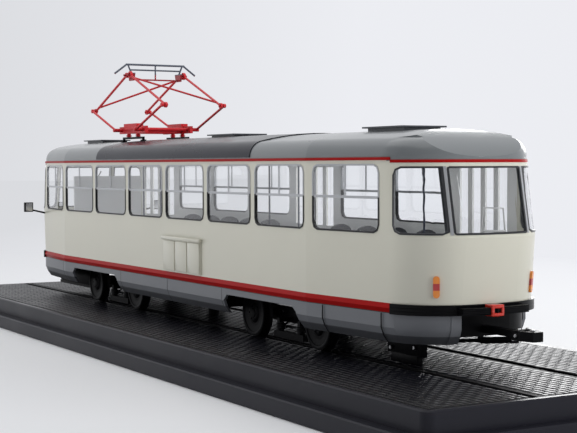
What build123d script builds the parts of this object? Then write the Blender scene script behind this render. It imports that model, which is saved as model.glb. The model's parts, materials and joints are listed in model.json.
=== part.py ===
from build123d import *
import math
import os

os.makedirs("parts", exist_ok=True)

# Scale model of a four-axle tram on a display plinth, sizes in millimetres
# X runs to the front, Y to the left, Z up; tram heights are counted from the paving

# Plinth
PLINTH_L = 416.6
PLINTH_W = 114.6
LEDGE = 4.0
TIER_LOW = 5.3
TIER_UP = 6.5
PAVING_Z = TIER_LOW + TIER_UP
PLINTH_CORNER_R = 3.0
PLINTH_BEVEL = 0.4
RIM = 2.0
INSERT_T = 2.0
INSERT_GAP = 0.4
INSERT_R = 1.0
SCREW_X = 18.0
SCREW_R = 2.4
SCREW_HEAD_R = 4.2
SCREW_HEAD_T = 2.0
SCREW_SINK = 4.0
SCREW_GAP = 0.1
SCREW_SIDES = 16

# Body plan: straight sides, tapered ends, rounded corners, bowed end faces
HALF_L = 162.0
HALF_W = 29.07
KINK_FRONT = 110.6
KINK_REAR = 105.3
TAPER_DEG = 5.9
END_R = 60.0
CORNER_R = 18.0
WAIST_OUT = 2.0
END_LEAN = 4.6
WALL_T = 1.3
SEAM_IN = 17.5

# Heights of the body bands
SKIRT_Z = 8.45
SKIRT_TURN_Z = 13.0
SKIRT_MID_Z = 10.6
SKIRT_TURN_IN = 2.4
SKIRT_MID_IN = 0.9
SKIRT_T = 1.0
SKIRT_END_IN = 14.0
SILL_Z = 17.45
SILL_TOP_Z = 20.2
SILL_OUT = 0.6
WAIST_Z = 39.6
CORNICE_Z = 62.06
CORNICE_TOP_Z = 62.94
CORNICE_OUT = 0.45
GUTTER_END_IN = 16.0
END_LINE_DROP = 0.75
END_LINE_OUT = 0.15
BELT_END_IN = 15.0
BELT_Z = 17.1
BELT_TOP_Z = 20.2
BELT_OUT = 0.9
LEDGE_OUT = 3.8
LEDGE_HALF_W = 12.0
LEDGE_Z = 17.3
LEDGE_TOP_Z = 19.4

# Roof section: a short lip, a rounded shoulder and a flat crown
ROOF_Z = 71.6
ROOF_LIP = 0.4
ROOF_SIDE_R = 5.6
ROOF_END_R = 30.0
ROOF_WALL = 3.3
ROOF_END_IN = 4.4
CEILING_Z = 67.6
CROWN_SINK = 0.03
MAT_T = 0.3
MAT_FRONT = 71.5
MAT_REAR = -67.7
LID_T = 0.5
LID_UP = 0.45
LID_INSET = 1.4

# Windows and doors
BAY_PITCH = 36.0
BAY_FIRST_X = 92.5
BAYS_LEFT = 6
DOOR_BAY = 3
WINDOW_W = 33.0
WINDOW_Z = 40.4
WINDOW_TOP_Z = 61.0
WINDOW_R = 2.6
REAR_BAY_IN = 19.7
FRONT_BAY_IN = 17.4
FRONT_BAY_W = 30.0
END_PANE_TOP_Z = 60.2
END_PANE_R = 0.8
CORNER_PANE_W = 18.1
CORNER_STEPS = 2
PILLAR_Y = 13.9
PILLAR_W = 1.1
PILLAR_T = 0.15
PILLAR_GAP = 0.1
HOLE_DEPTH = 6.0
GASKET_W = 0.55
GASKET_OUT = 0.2
GASKET_IN = 1.1
GLASS_OUT = 0.2
GLASS_T = 0.5
BAR_W = 0.8
BAR_Z = 51.0
BAR_T = 0.15
DOOR_W = 31.0
DOOR_Z = 11.4
DOOR_TOP_Z = 61.0
DOOR_R = 0.8
LEAVES = 4
LEAF_T = 0.9
LEAF_IN = 0.4
LEAF_GAP = 0.3
LEAF_FRAME = 1.2
LEAF_FOOT = 10.0
LEAF_RAIL_Z = 36.0

# Floor and things below it
FLOOR_Z = 19.0
FLOOR_T = 1.6
APRON_IN = 2.7
APRON_T = 1.5
APRON_HALF_W = 19.0
APRON_Z = 10.4
COUPLER_Z = 12.5
COUPLER_HEAD_H = 2.8
COUPLER_HEAD_OUT = 13.0
COUPLER_HEAD_L = 8.0
COUPLER_HEAD_W = 6.0
COUPLER_TIP_L = 4.0
COUPLER_TIP_W = 3.6
COUPLER_PIN_L = 3.2
COUPLER_PIN_R = 1.0
DRAWBAR_W = 2.6
DRAWBAR_H = 2.0
SWING_Z = 8.3
SWING_R = 0.6
SWING_THICK_R = 1.1
SWING_HANGER = 1.2
TRAY_Z = 4.6
TRAY_T = 1.2
TRAY_HALF_W = 17.0
TRAY_FRONT_IN = 12.0
TRAY_L = 43.0
STRAP_W = 1.5
BOX_Z = 9.2
BOX_LEFT_Y = 22.0
BOX_RIGHT_Y = 17.0

# Bogies and wheelsets
BOGIE_X = 74.4
WHEELBASE = 44.2
WHEEL_R = 8.14
WHEEL_LIFT = 0.3
FLANGE_UP = 0.76
FLANGE_T = 0.9
TREAD_W = 2.2
DISH_DEEP = 0.9
GAUGE_Y = 17.6
AXLE_R = 1.2
AXLE_GAP = 0.06
GROOVE_W = 3.0
GROOVE_DEEP = 1.4
BEAM_Y = 11.5
BEAM_T = 2.4
BEAM_Z = 6.0
BEAM_TOP_Z = 11.0
BEAM_OVERHANG = 4.4
BOLSTER_L = 9.0
BOLSTER_UP = 1.4
KING_R = 2.2
KING_GAP = 0.06
KING_FLANGE_R = 5.0
KING_FLANGE_Z = 13.2
KING_BOTTOM_Z = 7.4
PIVOT_GAP = 0.4
MOTOR_R = 3.0
MOTOR_HALF_L = 8.6
MOTOR_Z = 8.2
BRAKE_L = 20.0
BRAKE_T = 1.9
BRAKE_Z = 1.3
BRAKE_TOP_Z = 3.6
BRAKE_ARM_DX = 7.0
BRAKE_ARM_HALF = 0.8
BRAKE_ARM_UP = 0.6
BRAKE_ARM_H = 1.4

# Lamps
LAMP_OUT = 0.7
LAMP_Y = 17.0
LAMP_Z = 32.0
LAMP_R = 3.4
TAIL_TURN = 33.7
TAIL_Z = 25.5
TAIL_W = 1.9
TAIL_H = 6.4
MIRROR_IN = 13.5
MIRROR_Z = 38.9
MIRROR_H = 4.5
MIRROR_W = 4.0
MIRROR_T = 1.8
MIRROR_OUT = 6.0
MIRROR_ARM_R = 0.4
LOUVRE_FRONT = 1.8
LOUVRE_REAR = -30.0
LOUVRE_TOP_Z = 32.4
LOUVRE_OUT = 0.6
LOUVRE_GROOVE = 0.4
HOOD_OUT = 1.1
HOOD_H = 0.8
HOOD_OVER = 0.4

# Pantograph, a four-arm diamond over the front bogie
PANTO_X = BOGIE_X
SHAFT_DX = 11.3
SHAFT_Z = 76.3
SHAFT_R = 0.8
SHAFT_GAP = 0.05
KNEE_DX = 38.3
KNEE_Z = 85.7
HEAD_DX = 2.0
HEAD_PIVOT_Z = 100.1
ARM_Y = 14.3
FRAME_Y = 12.7
TUBE_R = 0.55
BRACE_R = 0.45
BRACE_START = 0.1
PIN_R = 0.45
PIN_GAP = 0.05
EYE_R = 1.15
EYE_T = 1.0
OPEN_BORE_R = 1.0
OPEN_EYE_R = 1.6
BASE_Y = 10.6
RAIL_T = 1.4
RAIL_DOWN = 1.6
RAIL_UP = 1.5
RAIL_HALF_L = 14.0
CROSS_DX = 5.0
COVER_HALF_L = 7.0
COVER_W = 3.2
COVER_TOP_Z = 79.0
PEG_R = 0.9
PEG_DX = 5.0
HOOP_HALF_L = 11.0
HOOP_TOP_Z = 73.2
HOOP_BAR = 0.9
HOOP_FOOT = 2.0
STRIP_Z = 104.7
STRIP_DX = 3.0
STRIP_HALF_Y = 13.9
STRIP_R = 0.5
HORN_Y = 19.2
HORN_Z = 100.6
POST_HALF_Y = 13.0
CROSS_Z = 102.4
LOW_BAR_Z = 98.2
CHEEK_T = 0.9
CHEEK_IN = 1.0
CHEEK_HALF_L = 3.4
CHEEK_LOW_Z = 97.6
CHEEK_TOP_Z = 101.5

# Arch over each bogie, roof lids, spare drawbar, boxes below the floor
CUT_OUT = [
    # x from the bogie centre, height
    (-28.0, 0.0),
    (-24.0, 13.6),
    (-21.5, 15.2),
    (24.5, 15.2),
    (27.0, 13.0),
    (27.0, 0.0),
]
VENTS = [
    # rear end, front end, half width
    (120.0, 142.0, 7.4),
    (-13.6, 8.7, 7.4),
    (-128.8, -106.0, 8.5),
]
SWING_BAR = [
    # distance in from the body's end, y
    (13.0, -8.0),
    (8.2, 2.5),
    (3.5, 13.0),
]
UNDERFLOOR = [
    # front and rear end of each box
    (-23.0, -37.0),
    (12.0, -12.0),
    (37.0, 23.0),
]

# Seats: half size, height of the pad, thicknesses and place
SEAT_HALF = 5.0
SEAT_PAD_UP = 9.0
SEAT_PAD_T = 2.0
SEAT_BACK_H = 8.5
SEAT_BACK_T = 1.5
SEAT_LEG_HALF = 1.0
SEAT_DX = 9.0
SEAT_IN = 9.0
POLE_R = 0.6
POLES = [
    # x, y
    (-135.0, 12.0),
    (-112.0, -14.0),
    (-27.0, -14.0),
    (-4.0, -14.0),
    (60.0, 12.0),
    (100.0, -14.0),
]

# Cab: bulkhead behind the kink, driver's seat before it, desk under the front pane
BULKHEAD_IN = 6.6
BULKHEAD_T = 1.0
BULKHEAD_Y = -6.0
BULKHEAD_Z = 56.0
DRIVER_X = 1.4
DRIVER_Y = 5.0
DRIVER_L = 9.0
DRIVER_W = 10.0
DRIVER_PAD_H = 12.0
DRIVER_BACK_H = 16.0
DRIVER_BACK_T = 2.0
DESK_IN = 14.8
DESK_L = 10.0
DESK_RIGHT_Y = -14.0
DESK_LEFT_Y = 18.0
DESK_H = 18.0

# Spans that reach past the whole model
LONG = 2 * PLINTH_L
WIDE = 2 * PLINTH_W
TALL = 3 * ROOF_Z

# Half lengths at the waist and under the roof
waist_half_l = HALF_L + WAIST_OUT
roof_half_l = waist_half_l - END_LEAN


def box(x0, x1, y0, y1, z0, z1):
    """Block between two corners."""
    size = Box(x1 - x0, y1 - y0, z1 - z0)
    return Pos((x0 + x1) / 2, (y0 + y1) / 2, (z0 + z1) / 2) * size


def rod(start, end, radius):
    """Round bar between two points."""
    a = Vector(*start)
    b = Vector(*end)
    plane = Plane(origin=start, z_dir=(b - a).normalized())
    return extrude(plane * Circle(radius), (b - a).length)


def bar(start, end, radius, sides=6):
    """Straight bar with a regular section between two points."""
    a = Vector(*start)
    b = Vector(*end)
    plane = Plane(origin=start, z_dir=(b - a).normalized())
    return extrude(plane * RegularPolygon(radius, sides), (b - a).length)


def across(x0, x1, z0=0.0, z1=TALL):
    """Block right across the tram between two stations and two heights."""
    return box(x0, x1, -WIDE, WIDE, z0, z1)


def drum(x, y, z, radius, height):
    """Upright cylinder standing on height z."""
    return Pos(x, y, z + height / 2) * Cylinder(radius, height)


def save(name, shape, lift=PAVING_Z):
    """Writes one node; tram pieces are lifted on to the paving."""
    solids = shape.solids() if hasattr(shape, "solids") else shape
    placed = [Pos(0, 0, lift) * s for s in solids]
    whole = placed[0] if len(placed) == 1 else Compound(children=placed)
    export_step(whole, f"parts/{name}.step")


class Bag:
    """Several solids saved as one node."""

    def __init__(self, rows):
        self.rows = rows

    def solids(self):
        return [s for r in self.rows for s in r.solids()]


def end_points(half_l, half_w, kink, end_r, corner_r):
    """Corner arc of one end: start, middle, finish, centre and the middle's outward angle."""
    s = math.sin(math.radians(TAPER_DEG))
    c = math.cos(math.radians(TAPER_DEG))
    ex = half_l - end_r
    bx = kink - corner_r * s
    by = half_w - corner_r * c
    lin = (bx - ex) * c - by * s
    rest = (bx - ex) ** 2 + by ** 2 - (end_r - corner_r) ** 2
    t = -lin + math.sqrt(lin * lin - rest)
    cx = bx + t * c
    cy = by - t * s
    out = math.atan2(cy, cx - ex)
    mid = (out + math.pi / 2 - math.radians(TAPER_DEG)) / 2
    first = (cx + corner_r * s, cy + corner_r * c)
    middle = (cx + corner_r * math.cos(mid), cy + corner_r * math.sin(mid))
    last = (ex + end_r * math.cos(out), end_r * math.sin(out))
    return first, middle, last, (cx, cy), mid


def outline(inset, z, half_l=HALF_L):
    """Plan of the body at one height, drawn in by inset."""
    turn = math.tan(math.radians(TAPER_DEG / 2)) * inset
    hl = half_l - inset
    hw = HALF_W - inset
    kf = KINK_FRONT - turn
    kr = KINK_REAR - turn
    f1, f2, f3, _, _ = end_points(hl, hw, kf, END_R - inset, CORNER_R - inset)
    r1, r2, r3, _, _ = end_points(hl, hw, kr, END_R - inset, CORNER_R - inset)

    def at(p, sx, sy):
        return (p[0] * sx, p[1] * sy, z)

    edges = [
        Line((-kr, hw, z), (kf, hw, z)),
        Line((kf, hw, z), at(f1, 1, 1)),
        ThreePointArc(at(f1, 1, 1), at(f2, 1, 1), at(f3, 1, 1)),
        ThreePointArc(at(f3, 1, 1), (hl, 0, z), at(f3, 1, -1)),
        ThreePointArc(at(f3, 1, -1), at(f2, 1, -1), at(f1, 1, -1)),
        Line(at(f1, 1, -1), (kf, -hw, z)),
        Line((kf, -hw, z), (-kr, -hw, z)),
        Line((-kr, -hw, z), at(r1, -1, -1)),
        ThreePointArc(at(r1, -1, -1), at(r2, -1, -1), at(r3, -1, -1)),
        ThreePointArc(at(r3, -1, -1), (-hl, 0, z), at(r3, -1, 1)),
        ThreePointArc(at(r3, -1, 1), at(r2, -1, 1), at(r1, -1, 1)),
        Line(at(r1, -1, 1), (-kr, hw, z)),
    ]
    return make_face(edges)


def slab(inset, z0, z1, half_l=HALF_L):
    """Upright prism over the body plan."""
    return extrude(outline(inset, z0, half_l), z1 - z0, dir=(0, 0, 1))


def body(inset):
    """Body volume: an upright foot, ends leaning out to the waist and in above it."""
    foot = slab(inset, SILL_Z, BELT_TOP_Z)
    waist = outline(inset, WAIST_Z, waist_half_l)
    rim = outline(inset, CORNICE_TOP_Z, roof_half_l)
    low = loft([outline(inset, BELT_TOP_Z), waist], ruled=True)
    return foot + low + loft([waist, rim], ruled=True)


def facing(x, y, z, turn):
    """Place on a wall: local X along it, local Y up, local Z outward at angle turn."""
    return Pos(x, y, z) * Rot(0, 0, turn + 90) * Rot(90, 0, 0)


def taper_y(x, kink):
    """Half width on a tapered side."""
    return HALF_W - (abs(x) - kink) * math.tan(math.radians(TAPER_DEG))


rear_bay_x = -KINK_REAR - REAR_BAY_IN
front_bay_x = KINK_FRONT + FRONT_BAY_IN


def side_bays():
    """Windows along both sides: x, y, outward angle, width."""
    rows = []
    for k in range(BAYS_LEFT):
        x = BAY_FIRST_X - k * BAY_PITCH
        rows.append((x, HALF_W, 90, WINDOW_W))
        if k != DOOR_BAY:
            rows.append((x, -HALF_W, -90, WINDOW_W))
    rows.append((rear_bay_x, taper_y(rear_bay_x, KINK_REAR), 90 + TAPER_DEG, WINDOW_W))
    rows.append((front_bay_x, taper_y(front_bay_x, KINK_FRONT), 90 - TAPER_DEG, FRONT_BAY_W))
    return rows


def door_bays():
    """Doors on the right side: x, y, outward angle, width."""
    mid_x = BAY_FIRST_X - DOOR_BAY * BAY_PITCH
    return [
        (front_bay_x, -taper_y(front_bay_x, KINK_FRONT), TAPER_DEG - 90, FRONT_BAY_W),
        (mid_x, -HALF_W, -90, DOOR_W),
        (rear_bay_x, -taper_y(rear_bay_x, KINK_REAR), -90 - TAPER_DEG, DOOR_W),
    ]


def end_bays():
    """End panes and corner panes: x, y, outward angle, width."""
    rows = []
    half_l = waist_half_l - END_LEAN / 2
    for sx, kink in ((1, KINK_FRONT), (-1, KINK_REAR)):
        face = 0 if sx > 0 else 180
        rows.append((sx * half_l, 0, face, 2 * PILLAR_Y - PILLAR_W))
        _, middle, _, _, angle = end_points(half_l, HALF_W, kink, END_R, CORNER_R)
        for sy in (1, -1):
            turn = math.degrees(angle) * sy if sx > 0 else 180 - math.degrees(angle) * sy
            rows.append((sx * middle[0], sy * middle[1], turn, CORNER_PANE_W))
    return rows


def soft_rectangle(width, height, radius):
    """Rectangle whose corners are turned in a few short flats."""
    points = []
    for quarter, (sx, sy) in enumerate(((1, 1), (-1, 1), (-1, -1), (1, -1))):
        for step in range(CORNER_STEPS + 1):
            angle = math.radians(90 * (quarter + step / CORNER_STEPS))
            x = sx * (width / 2 - radius) + radius * math.cos(angle)
            y = sy * (height / 2 - radius) + radius * math.sin(angle)
            points.append((x, y))
    return make_face(Polyline(*points, close=True))


def hole(bay, z0, z1, radius, inset=0.0, depth=HOLE_DEPTH):
    """Rounded prism through a wall."""
    x, y, turn, width = bay
    sketch = soft_rectangle(width - 2 * inset, z1 - z0 - 2 * inset, max(radius - inset, 0.2))
    return facing(x, y, (z0 + z1) / 2, turn) * extrude(sketch, depth, both=True)


def side_hole(bay, inset=0.0):
    return hole(bay, WINDOW_Z, WINDOW_TOP_Z, WINDOW_R, inset)


def end_hole(bay, inset=0.0):
    """End pane, or a corner pane that starts beside the pillar."""
    y = bay[1]
    if y == 0:
        return hole(bay, WINDOW_Z, END_PANE_TOP_Z, END_PANE_R, inset)
    start = PILLAR_Y + PILLAR_W / 2 + inset
    y0, y1 = sorted((math.copysign(start, y), math.copysign(WIDE, y)))
    return hole(bay, WINDOW_Z, END_PANE_TOP_Z, WINDOW_R, inset) & box(-LONG, LONG, y0, y1, 0, TALL)


def door_hole(bay, inset=0.0):
    return hole(bay, DOOR_Z, DOOR_TOP_Z, DOOR_R, inset)


def layer(outer, inner):
    """Skin of the body between two insets."""
    return body(outer) - body(inner)


def cut_all(shape, tools):
    for tool in tools:
        shape = shape - tool
    return shape


def frames(skin, bays, maker):
    """Rubber ring in each opening."""
    return [s for b in bays for s in (skin & (maker(b) - maker(b, GASKET_W))).solids()]


def panes(skin, bays, maker):
    """Glass inside each ring."""
    return [s for b in bays for s in (skin & maker(b, GASKET_W)).solids()]


# Plinth and paving
top_l = PLINTH_L - 2 * LEDGE
top_w = PLINTH_W - 2 * LEDGE
insert_l = top_l - 2 * RIM
insert_w = top_w - 2 * RIM


def block(length, width, radius, z0, z1):
    return Pos(0, 0, z0) * extrude(RectangleRounded(length, width, radius), z1 - z0)


def plinth():
    low = block(PLINTH_L, PLINTH_W, PLINTH_CORNER_R + LEDGE, 0, TIER_LOW)
    low = chamfer(low.edges().group_by(Axis.Z)[-1], PLINTH_BEVEL)
    high = block(top_l, top_w, PLINTH_CORNER_R, TIER_LOW, PAVING_Z)
    high = chamfer(high.edges().group_by(Axis.Z)[-1], PLINTH_BEVEL)
    shape = low + high - block(insert_l, insert_w, INSERT_R, PAVING_Z - INSERT_T, PAVING_Z)
    for sx in (1, -1):
        shape = shape - drum(sx * SCREW_X, 0, 0, SCREW_R + SCREW_GAP, PAVING_Z)
        shape = shape - drum(sx * SCREW_X, 0, 0, SCREW_HEAD_R + SCREW_GAP, SCREW_SINK)
    return shape


def paving():
    gap = 2 * INSERT_GAP
    shape = block(insert_l - gap, insert_w - gap, INSERT_R, PAVING_Z - INSERT_T, PAVING_Z)
    mid = GAUGE_Y - FLANGE_T / 2
    for sy in (1, -1):
        y0 = sy * mid - GROOVE_W / 2
        shape = shape - box(-LONG, LONG, y0, y0 + GROOVE_W, PAVING_Z - GROOVE_DEEP, TALL)
    for sx in (1, -1):
        shape = shape - drum(sx * SCREW_X, 0, 0, SCREW_R + SCREW_GAP, PAVING_Z)
    return shape


def screws():
    """Two screws from below that hold the tram's floor."""
    rows = []
    for sx in (1, -1):
        x = sx * SCREW_X
        shank = bar((x, 0, SCREW_SINK), (x, 0, PAVING_Z + FLOOR_Z), SCREW_R, SCREW_SIDES)
        head = bar((x, 0, SCREW_SINK - SCREW_HEAD_T), (x, 0, SCREW_SINK), SCREW_HEAD_R, SCREW_SIDES)
        rows.append(shank + head)
    return rows


# Body
sides = side_bays()
ends = end_bays()
doors = door_bays()
side_holes = [side_hole(b) for b in sides]
end_holes = [end_hole(b) for b in ends]
door_holes = [door_hole(b) for b in doors]


seam_x = HALF_L - SEAM_IN
gutter_x = HALF_L - GUTTER_END_IN
belt_x = HALF_L - BELT_END_IN
skirt_x = HALF_L - SKIRT_END_IN


def shell():
    return cut_all(layer(0, WALL_T), side_holes + end_holes + door_holes)


def body_panels():
    """The shell split at the corner seams: node name and solid."""
    whole = shell()
    return [
        ("body_side_left", whole & box(-seam_x, seam_x, 0, WIDE, 0, TALL)),
        ("body_side_right", whole & box(-seam_x, seam_x, -WIDE, 0, 0, TALL)),
        ("body_end_front", whole & across(seam_x, LONG)),
        ("body_end_rear", whole & across(-LONG, -seam_x)),
    ]


# Roof section, worked out so that shoulder and crown meet without a corner
side_z = CORNICE_TOP_Z + ROOF_LIP
arc_y = HALF_W - ROOF_SIDE_R
arc_drop = ROOF_Z - side_z
crown_r = (arc_y ** 2 + arc_drop ** 2 - ROOF_SIDE_R ** 2) / (2 * (arc_drop - ROOF_SIDE_R))
crown_turn = math.asin(arc_y / (crown_r - ROOF_SIDE_R))


def crown_edge(grow=0.0):
    """Half width and height where the crown leaves the shoulder."""
    r = crown_r + grow
    return r * math.sin(crown_turn), ROOF_Z - crown_r + r * math.cos(crown_turn)


def crown():
    """Flat arc over the roof, narrower over the tapered ends."""
    edge_y, edge_z = crown_edge()
    inset = HALF_W - edge_y
    stations = [
        # x, half width of the body there
        (-HALF_L, taper_y(HALF_L, KINK_REAR)),
        (-KINK_REAR, HALF_W),
        (KINK_FRONT, HALF_W),
        (HALF_L, taper_y(HALF_L, KINK_FRONT)),
    ]
    sections = []
    for x, half_w in stations:
        w = half_w - inset
        z = edge_z - CROWN_SINK
        arc = ThreePointArc((x, -w, z), (x, 0, ROOF_Z - CROWN_SINK), (x, w, z))
        foot = Polyline((x, w, z), (x, w, CEILING_Z), (x, -w, CEILING_Z), (x, -w, z))
        sections.append(make_face([arc] + list(foot.edges())))
    return loft(sections, ruled=True) & slab(inset, CEILING_Z, TALL, roof_half_l)


def end_fall():
    """Everything below the arcs in which the roof comes down at both ends."""
    rise = ROOF_Z - CORNICE_TOP_Z
    run = math.sqrt(ROOF_END_R ** 2 - (ROOF_END_R - rise) ** 2)
    start = roof_half_l - run
    keep = across(-start, start, CORNICE_TOP_Z)
    for sx in (1, -1):
        barrel = Pos(sx * start, 0, ROOF_Z - ROOF_END_R) * Rot(90, 0, 0) * Cylinder(ROOF_END_R, 2 * WIDE)
        reach = sorted((sx * start, sx * LONG))
        keep = keep + (barrel & across(reach[0], reach[1], CORNICE_TOP_Z))
    return keep


def roof():
    """Roof volume: rounded shoulders, flat crown, ends falling in an arc."""
    base = slab(0, CORNICE_TOP_Z, side_z + ROOF_SIDE_R, roof_half_l)
    base = fillet(base.edges().group_by(Axis.Z)[-1], ROOF_SIDE_R)
    return (base + crown()) & end_fall()


def roof_shell():
    return roof_volume - slab(ROOF_WALL, CORNICE_TOP_Z, CEILING_Z, roof_half_l - ROOF_END_IN)


def roof_section(grow):
    """Half of the roof's section over the straight sides, from the lip to the crest."""
    edge_y, edge_z = crown_edge(grow)
    side = HALF_W + grow
    turn = math.radians(45) - crown_turn / 2
    r = ROOF_SIDE_R + grow
    middle = (arc_y + r * math.cos(turn), side_z + r * math.sin(turn))
    top = crown_r + grow
    over = (top * math.sin(crown_turn / 2), ROOF_Z - crown_r + top * math.cos(crown_turn / 2))
    return [
        ThreePointArc((side, side_z), middle, (edge_y, edge_z)),
        ThreePointArc((edge_y, edge_z), over, (0, ROOF_Z + grow)),
    ]


def mat_volume(grow):
    """Roof section filled in down to the lip, over the length of the mat."""
    foot = Polyline((0, ROOF_Z + grow), (0, side_z), (HALF_W + grow, side_z))
    half = Plane.YZ * make_face(roof_section(grow) + list(foot.edges()))
    solid = Pos(MAT_REAR, 0, 0) * extrude(half, MAT_FRONT - MAT_REAR, dir=(1, 0, 0))
    return solid + mirror(solid, Plane.XZ)


def mat():
    return mat_volume(MAT_T) - mat_volume(0)


roof_volume = roof()
mat_cover = mat_volume(MAT_T)


def on_roof(shape):
    """What is left of a shape above the roof and its mat."""
    return (shape - roof_volume - mat_cover).solids()


def gutters():
    """Rain rail along the sides and a lower, flatter line round each end."""
    rail = layer(-CORNICE_OUT, 0) & across(-gutter_x, gutter_x, CORNICE_Z, CORNICE_TOP_Z)
    band = layer(-END_LINE_OUT, 0) - across(-gutter_x, gutter_x)
    band = band & across(-LONG, LONG, CORNICE_Z - END_LINE_DROP, CORNICE_TOP_Z - END_LINE_DROP)
    return Bag([rail, band])


def mouldings():
    """Convex bead along each side, cut by the doors."""
    mid = (SILL_Z + SILL_TOP_Z) / 2
    low = loft([outline(0, SILL_Z), outline(-SILL_OUT, mid)], ruled=True)
    high = loft([outline(-SILL_OUT, mid), outline(0, SILL_TOP_Z)], ruled=True)
    ring = low + high - slab(0, SILL_Z, SILL_TOP_Z)
    return cut_all(ring & across(-belt_x, belt_x), door_holes)


def belts():
    """Black bumper round each end with a ledge in its middle."""
    ring = slab(-BELT_OUT, BELT_Z, BELT_TOP_Z) - slab(0, BELT_Z, BELT_TOP_Z)
    shelf = slab(-LEDGE_OUT, LEDGE_Z, LEDGE_TOP_Z) - slab(0, LEDGE_Z, LEDGE_TOP_Z)
    ring = ring + (shelf & box(-LONG, LONG, -LEDGE_HALF_W, LEDGE_HALF_W, 0, TALL))
    return ring - across(-belt_x, belt_x)


def skirt_volume(inset):
    top = slab(inset, SKIRT_TURN_Z, SILL_Z)
    mid = loft([outline(inset + SKIRT_MID_IN, SKIRT_MID_Z), outline(inset, SKIRT_TURN_Z)], ruled=True)
    foot = outline(inset + SKIRT_TURN_IN, SKIRT_Z)
    low = loft([foot, outline(inset + SKIRT_MID_IN, SKIRT_MID_Z)], ruled=True)
    return top + mid + low


def skirts():
    """Turned-in lower panels with an arch over each bogie."""
    ring = skirt_volume(0) - skirt_volume(SKIRT_T)
    ring = ring & across(-skirt_x, skirt_x)
    for sx in (1, -1):
        points = [(sx * BOGIE_X + x, z) for x, z in CUT_OUT]
        face = Plane.XZ * make_face(Polyline(*points, close=True))
        ring = ring - extrude(face, WIDE, both=True)
    return cut_all(ring, door_holes)


# Windows
def pillar_strips():
    """Bright strip on each pillar between an end pane and a corner pane."""
    skin = layer(-PILLAR_T, 0) & across(-LONG, LONG, WINDOW_Z, END_PANE_TOP_Z)
    half = PILLAR_W / 2 - PILLAR_GAP
    rows = []
    for sy in (1, -1):
        y = sy * PILLAR_Y
        rows += (skin & box(-LONG, LONG, y - half, y + half, 0, TALL)).solids()
    return rows


def bars():
    """Bright divider in each side window: one level bar, one upright above it."""
    skin = layer(GLASS_OUT - BAR_T, GLASS_OUT)
    rows = []
    for b in sides:
        x, y, turn, width = b
        level = facing(x, y, BAR_Z, turn) * Box(width, BAR_W, 2 * HOLE_DEPTH)
        tall = WINDOW_TOP_Z - BAR_Z
        upright = facing(x, y, BAR_Z + tall / 2, turn) * Box(BAR_W, tall, 2 * HOLE_DEPTH)
        rows += (skin & (level + upright) & side_hole(b, GASKET_W)).solids()
    return rows + pillar_strips()


def leaf_frames():
    """Folding leaves and their glass for each door."""
    metal = []
    glass = []
    for x, y, turn, width in doors:
        pitch = width / LEAVES
        opening = door_hole((x, y, turn, width))
        for k in range(LEAVES):
            dx = (k - (LEAVES - 1) / 2) * pitch
            left = LEAF_GAP / 2 if k > 0 else 0
            right = LEAF_GAP / 2 if k < LEAVES - 1 else 0
            w = pitch - left - right
            cx = dx + (left - right) / 2
            place = facing(x, y, 0, turn) * Pos(cx, 0, -LEAF_IN - LEAF_T / 2)
            plate = Pos(0, (DOOR_Z + DOOR_TOP_Z) / 2, 0) * Box(w, DOOR_TOP_Z - DOOR_Z, LEAF_T)
            lights = (
                (DOOR_Z + LEAF_FOOT, LEAF_RAIL_Z),
                (LEAF_RAIL_Z + LEAF_FRAME, DOOR_TOP_Z - LEAF_FRAME),
            )
            for z0, z1 in lights:
                light = Pos(0, (z0 + z1) / 2, 0) * Box(w - 2 * LEAF_FRAME, z1 - z0, 2 * LEAF_T)
                pane = Pos(0, (z0 + z1) / 2, 0) * Box(w - 2 * LEAF_FRAME, z1 - z0, LEAF_T / 2)
                plate = plate - light
                glass.append(place * pane)
            metal.append((place * plate) & opening)
    return metal, glass


# Floor and underside
def floor():
    """Floor plate with both king pins."""
    plate = slab(WALL_T, FLOOR_Z, FLOOR_Z + FLOOR_T)
    for sx in (1, -1):
        plate = plate + drum(sx * BOGIE_X, 0, KING_FLANGE_Z, KING_FLANGE_R, FLOOR_Z - KING_FLANGE_Z)
        plate = plate + drum(sx * BOGIE_X, 0, KING_BOTTOM_Z, KING_R, FLOOR_Z - KING_BOTTOM_Z)
    return plate


def aprons():
    """Bowed plate hung from the floor behind each bumper."""
    ring = slab(APRON_IN, APRON_Z, FLOOR_Z) - slab(APRON_IN + APRON_T, APRON_Z, FLOOR_Z)
    ring = ring - across(-skirt_x, skirt_x)
    return ring & box(-LONG, LONG, -APRON_HALF_W, APRON_HALF_W, 0, TALL)


def coupler():
    """Drawbar and tapered head in front of the apron, with the bore for a pin."""
    x0 = HALF_L - APRON_IN
    x1 = HALF_L + COUPLER_HEAD_OUT
    x2 = x1 + COUPLER_HEAD_L
    rise = DRAWBAR_H / 2
    shape = box(x0, x1, -DRAWBAR_W / 2, DRAWBAR_W / 2, COUPLER_Z - rise, COUPLER_Z + rise)
    half = COUPLER_HEAD_W / 2
    tip = COUPLER_TIP_W / 2
    plan = [
        (x1, -half),
        (x2 - COUPLER_TIP_L, -half),
        (x2, -tip),
        (x2, tip),
        (x2 - COUPLER_TIP_L, half),
        (x1, half),
    ]
    low = COUPLER_Z - COUPLER_HEAD_H / 2
    head = Pos(0, 0, low) * extrude(make_face(Polyline(*plan, close=True)), COUPLER_HEAD_H, dir=(0, 0, 1))
    return shape + head - drum(x1 + COUPLER_PIN_L, 0, 0, COUPLER_PIN_R, TALL)


def swing_bar():
    """Spare drawbar folded away below the apron, on two hangers."""
    left, middle, right = [(HALF_L - x, y, SWING_Z) for x, y in SWING_BAR]
    shape = bar(left, middle, SWING_R) + bar(middle, right, SWING_THICK_R)
    for x, y, z in (left, middle):
        half = SWING_HANGER / 2
        shape = shape + box(x - half, x + half, y - half, y + half, z - SWING_R, FLOOR_Z)
    return shape


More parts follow.
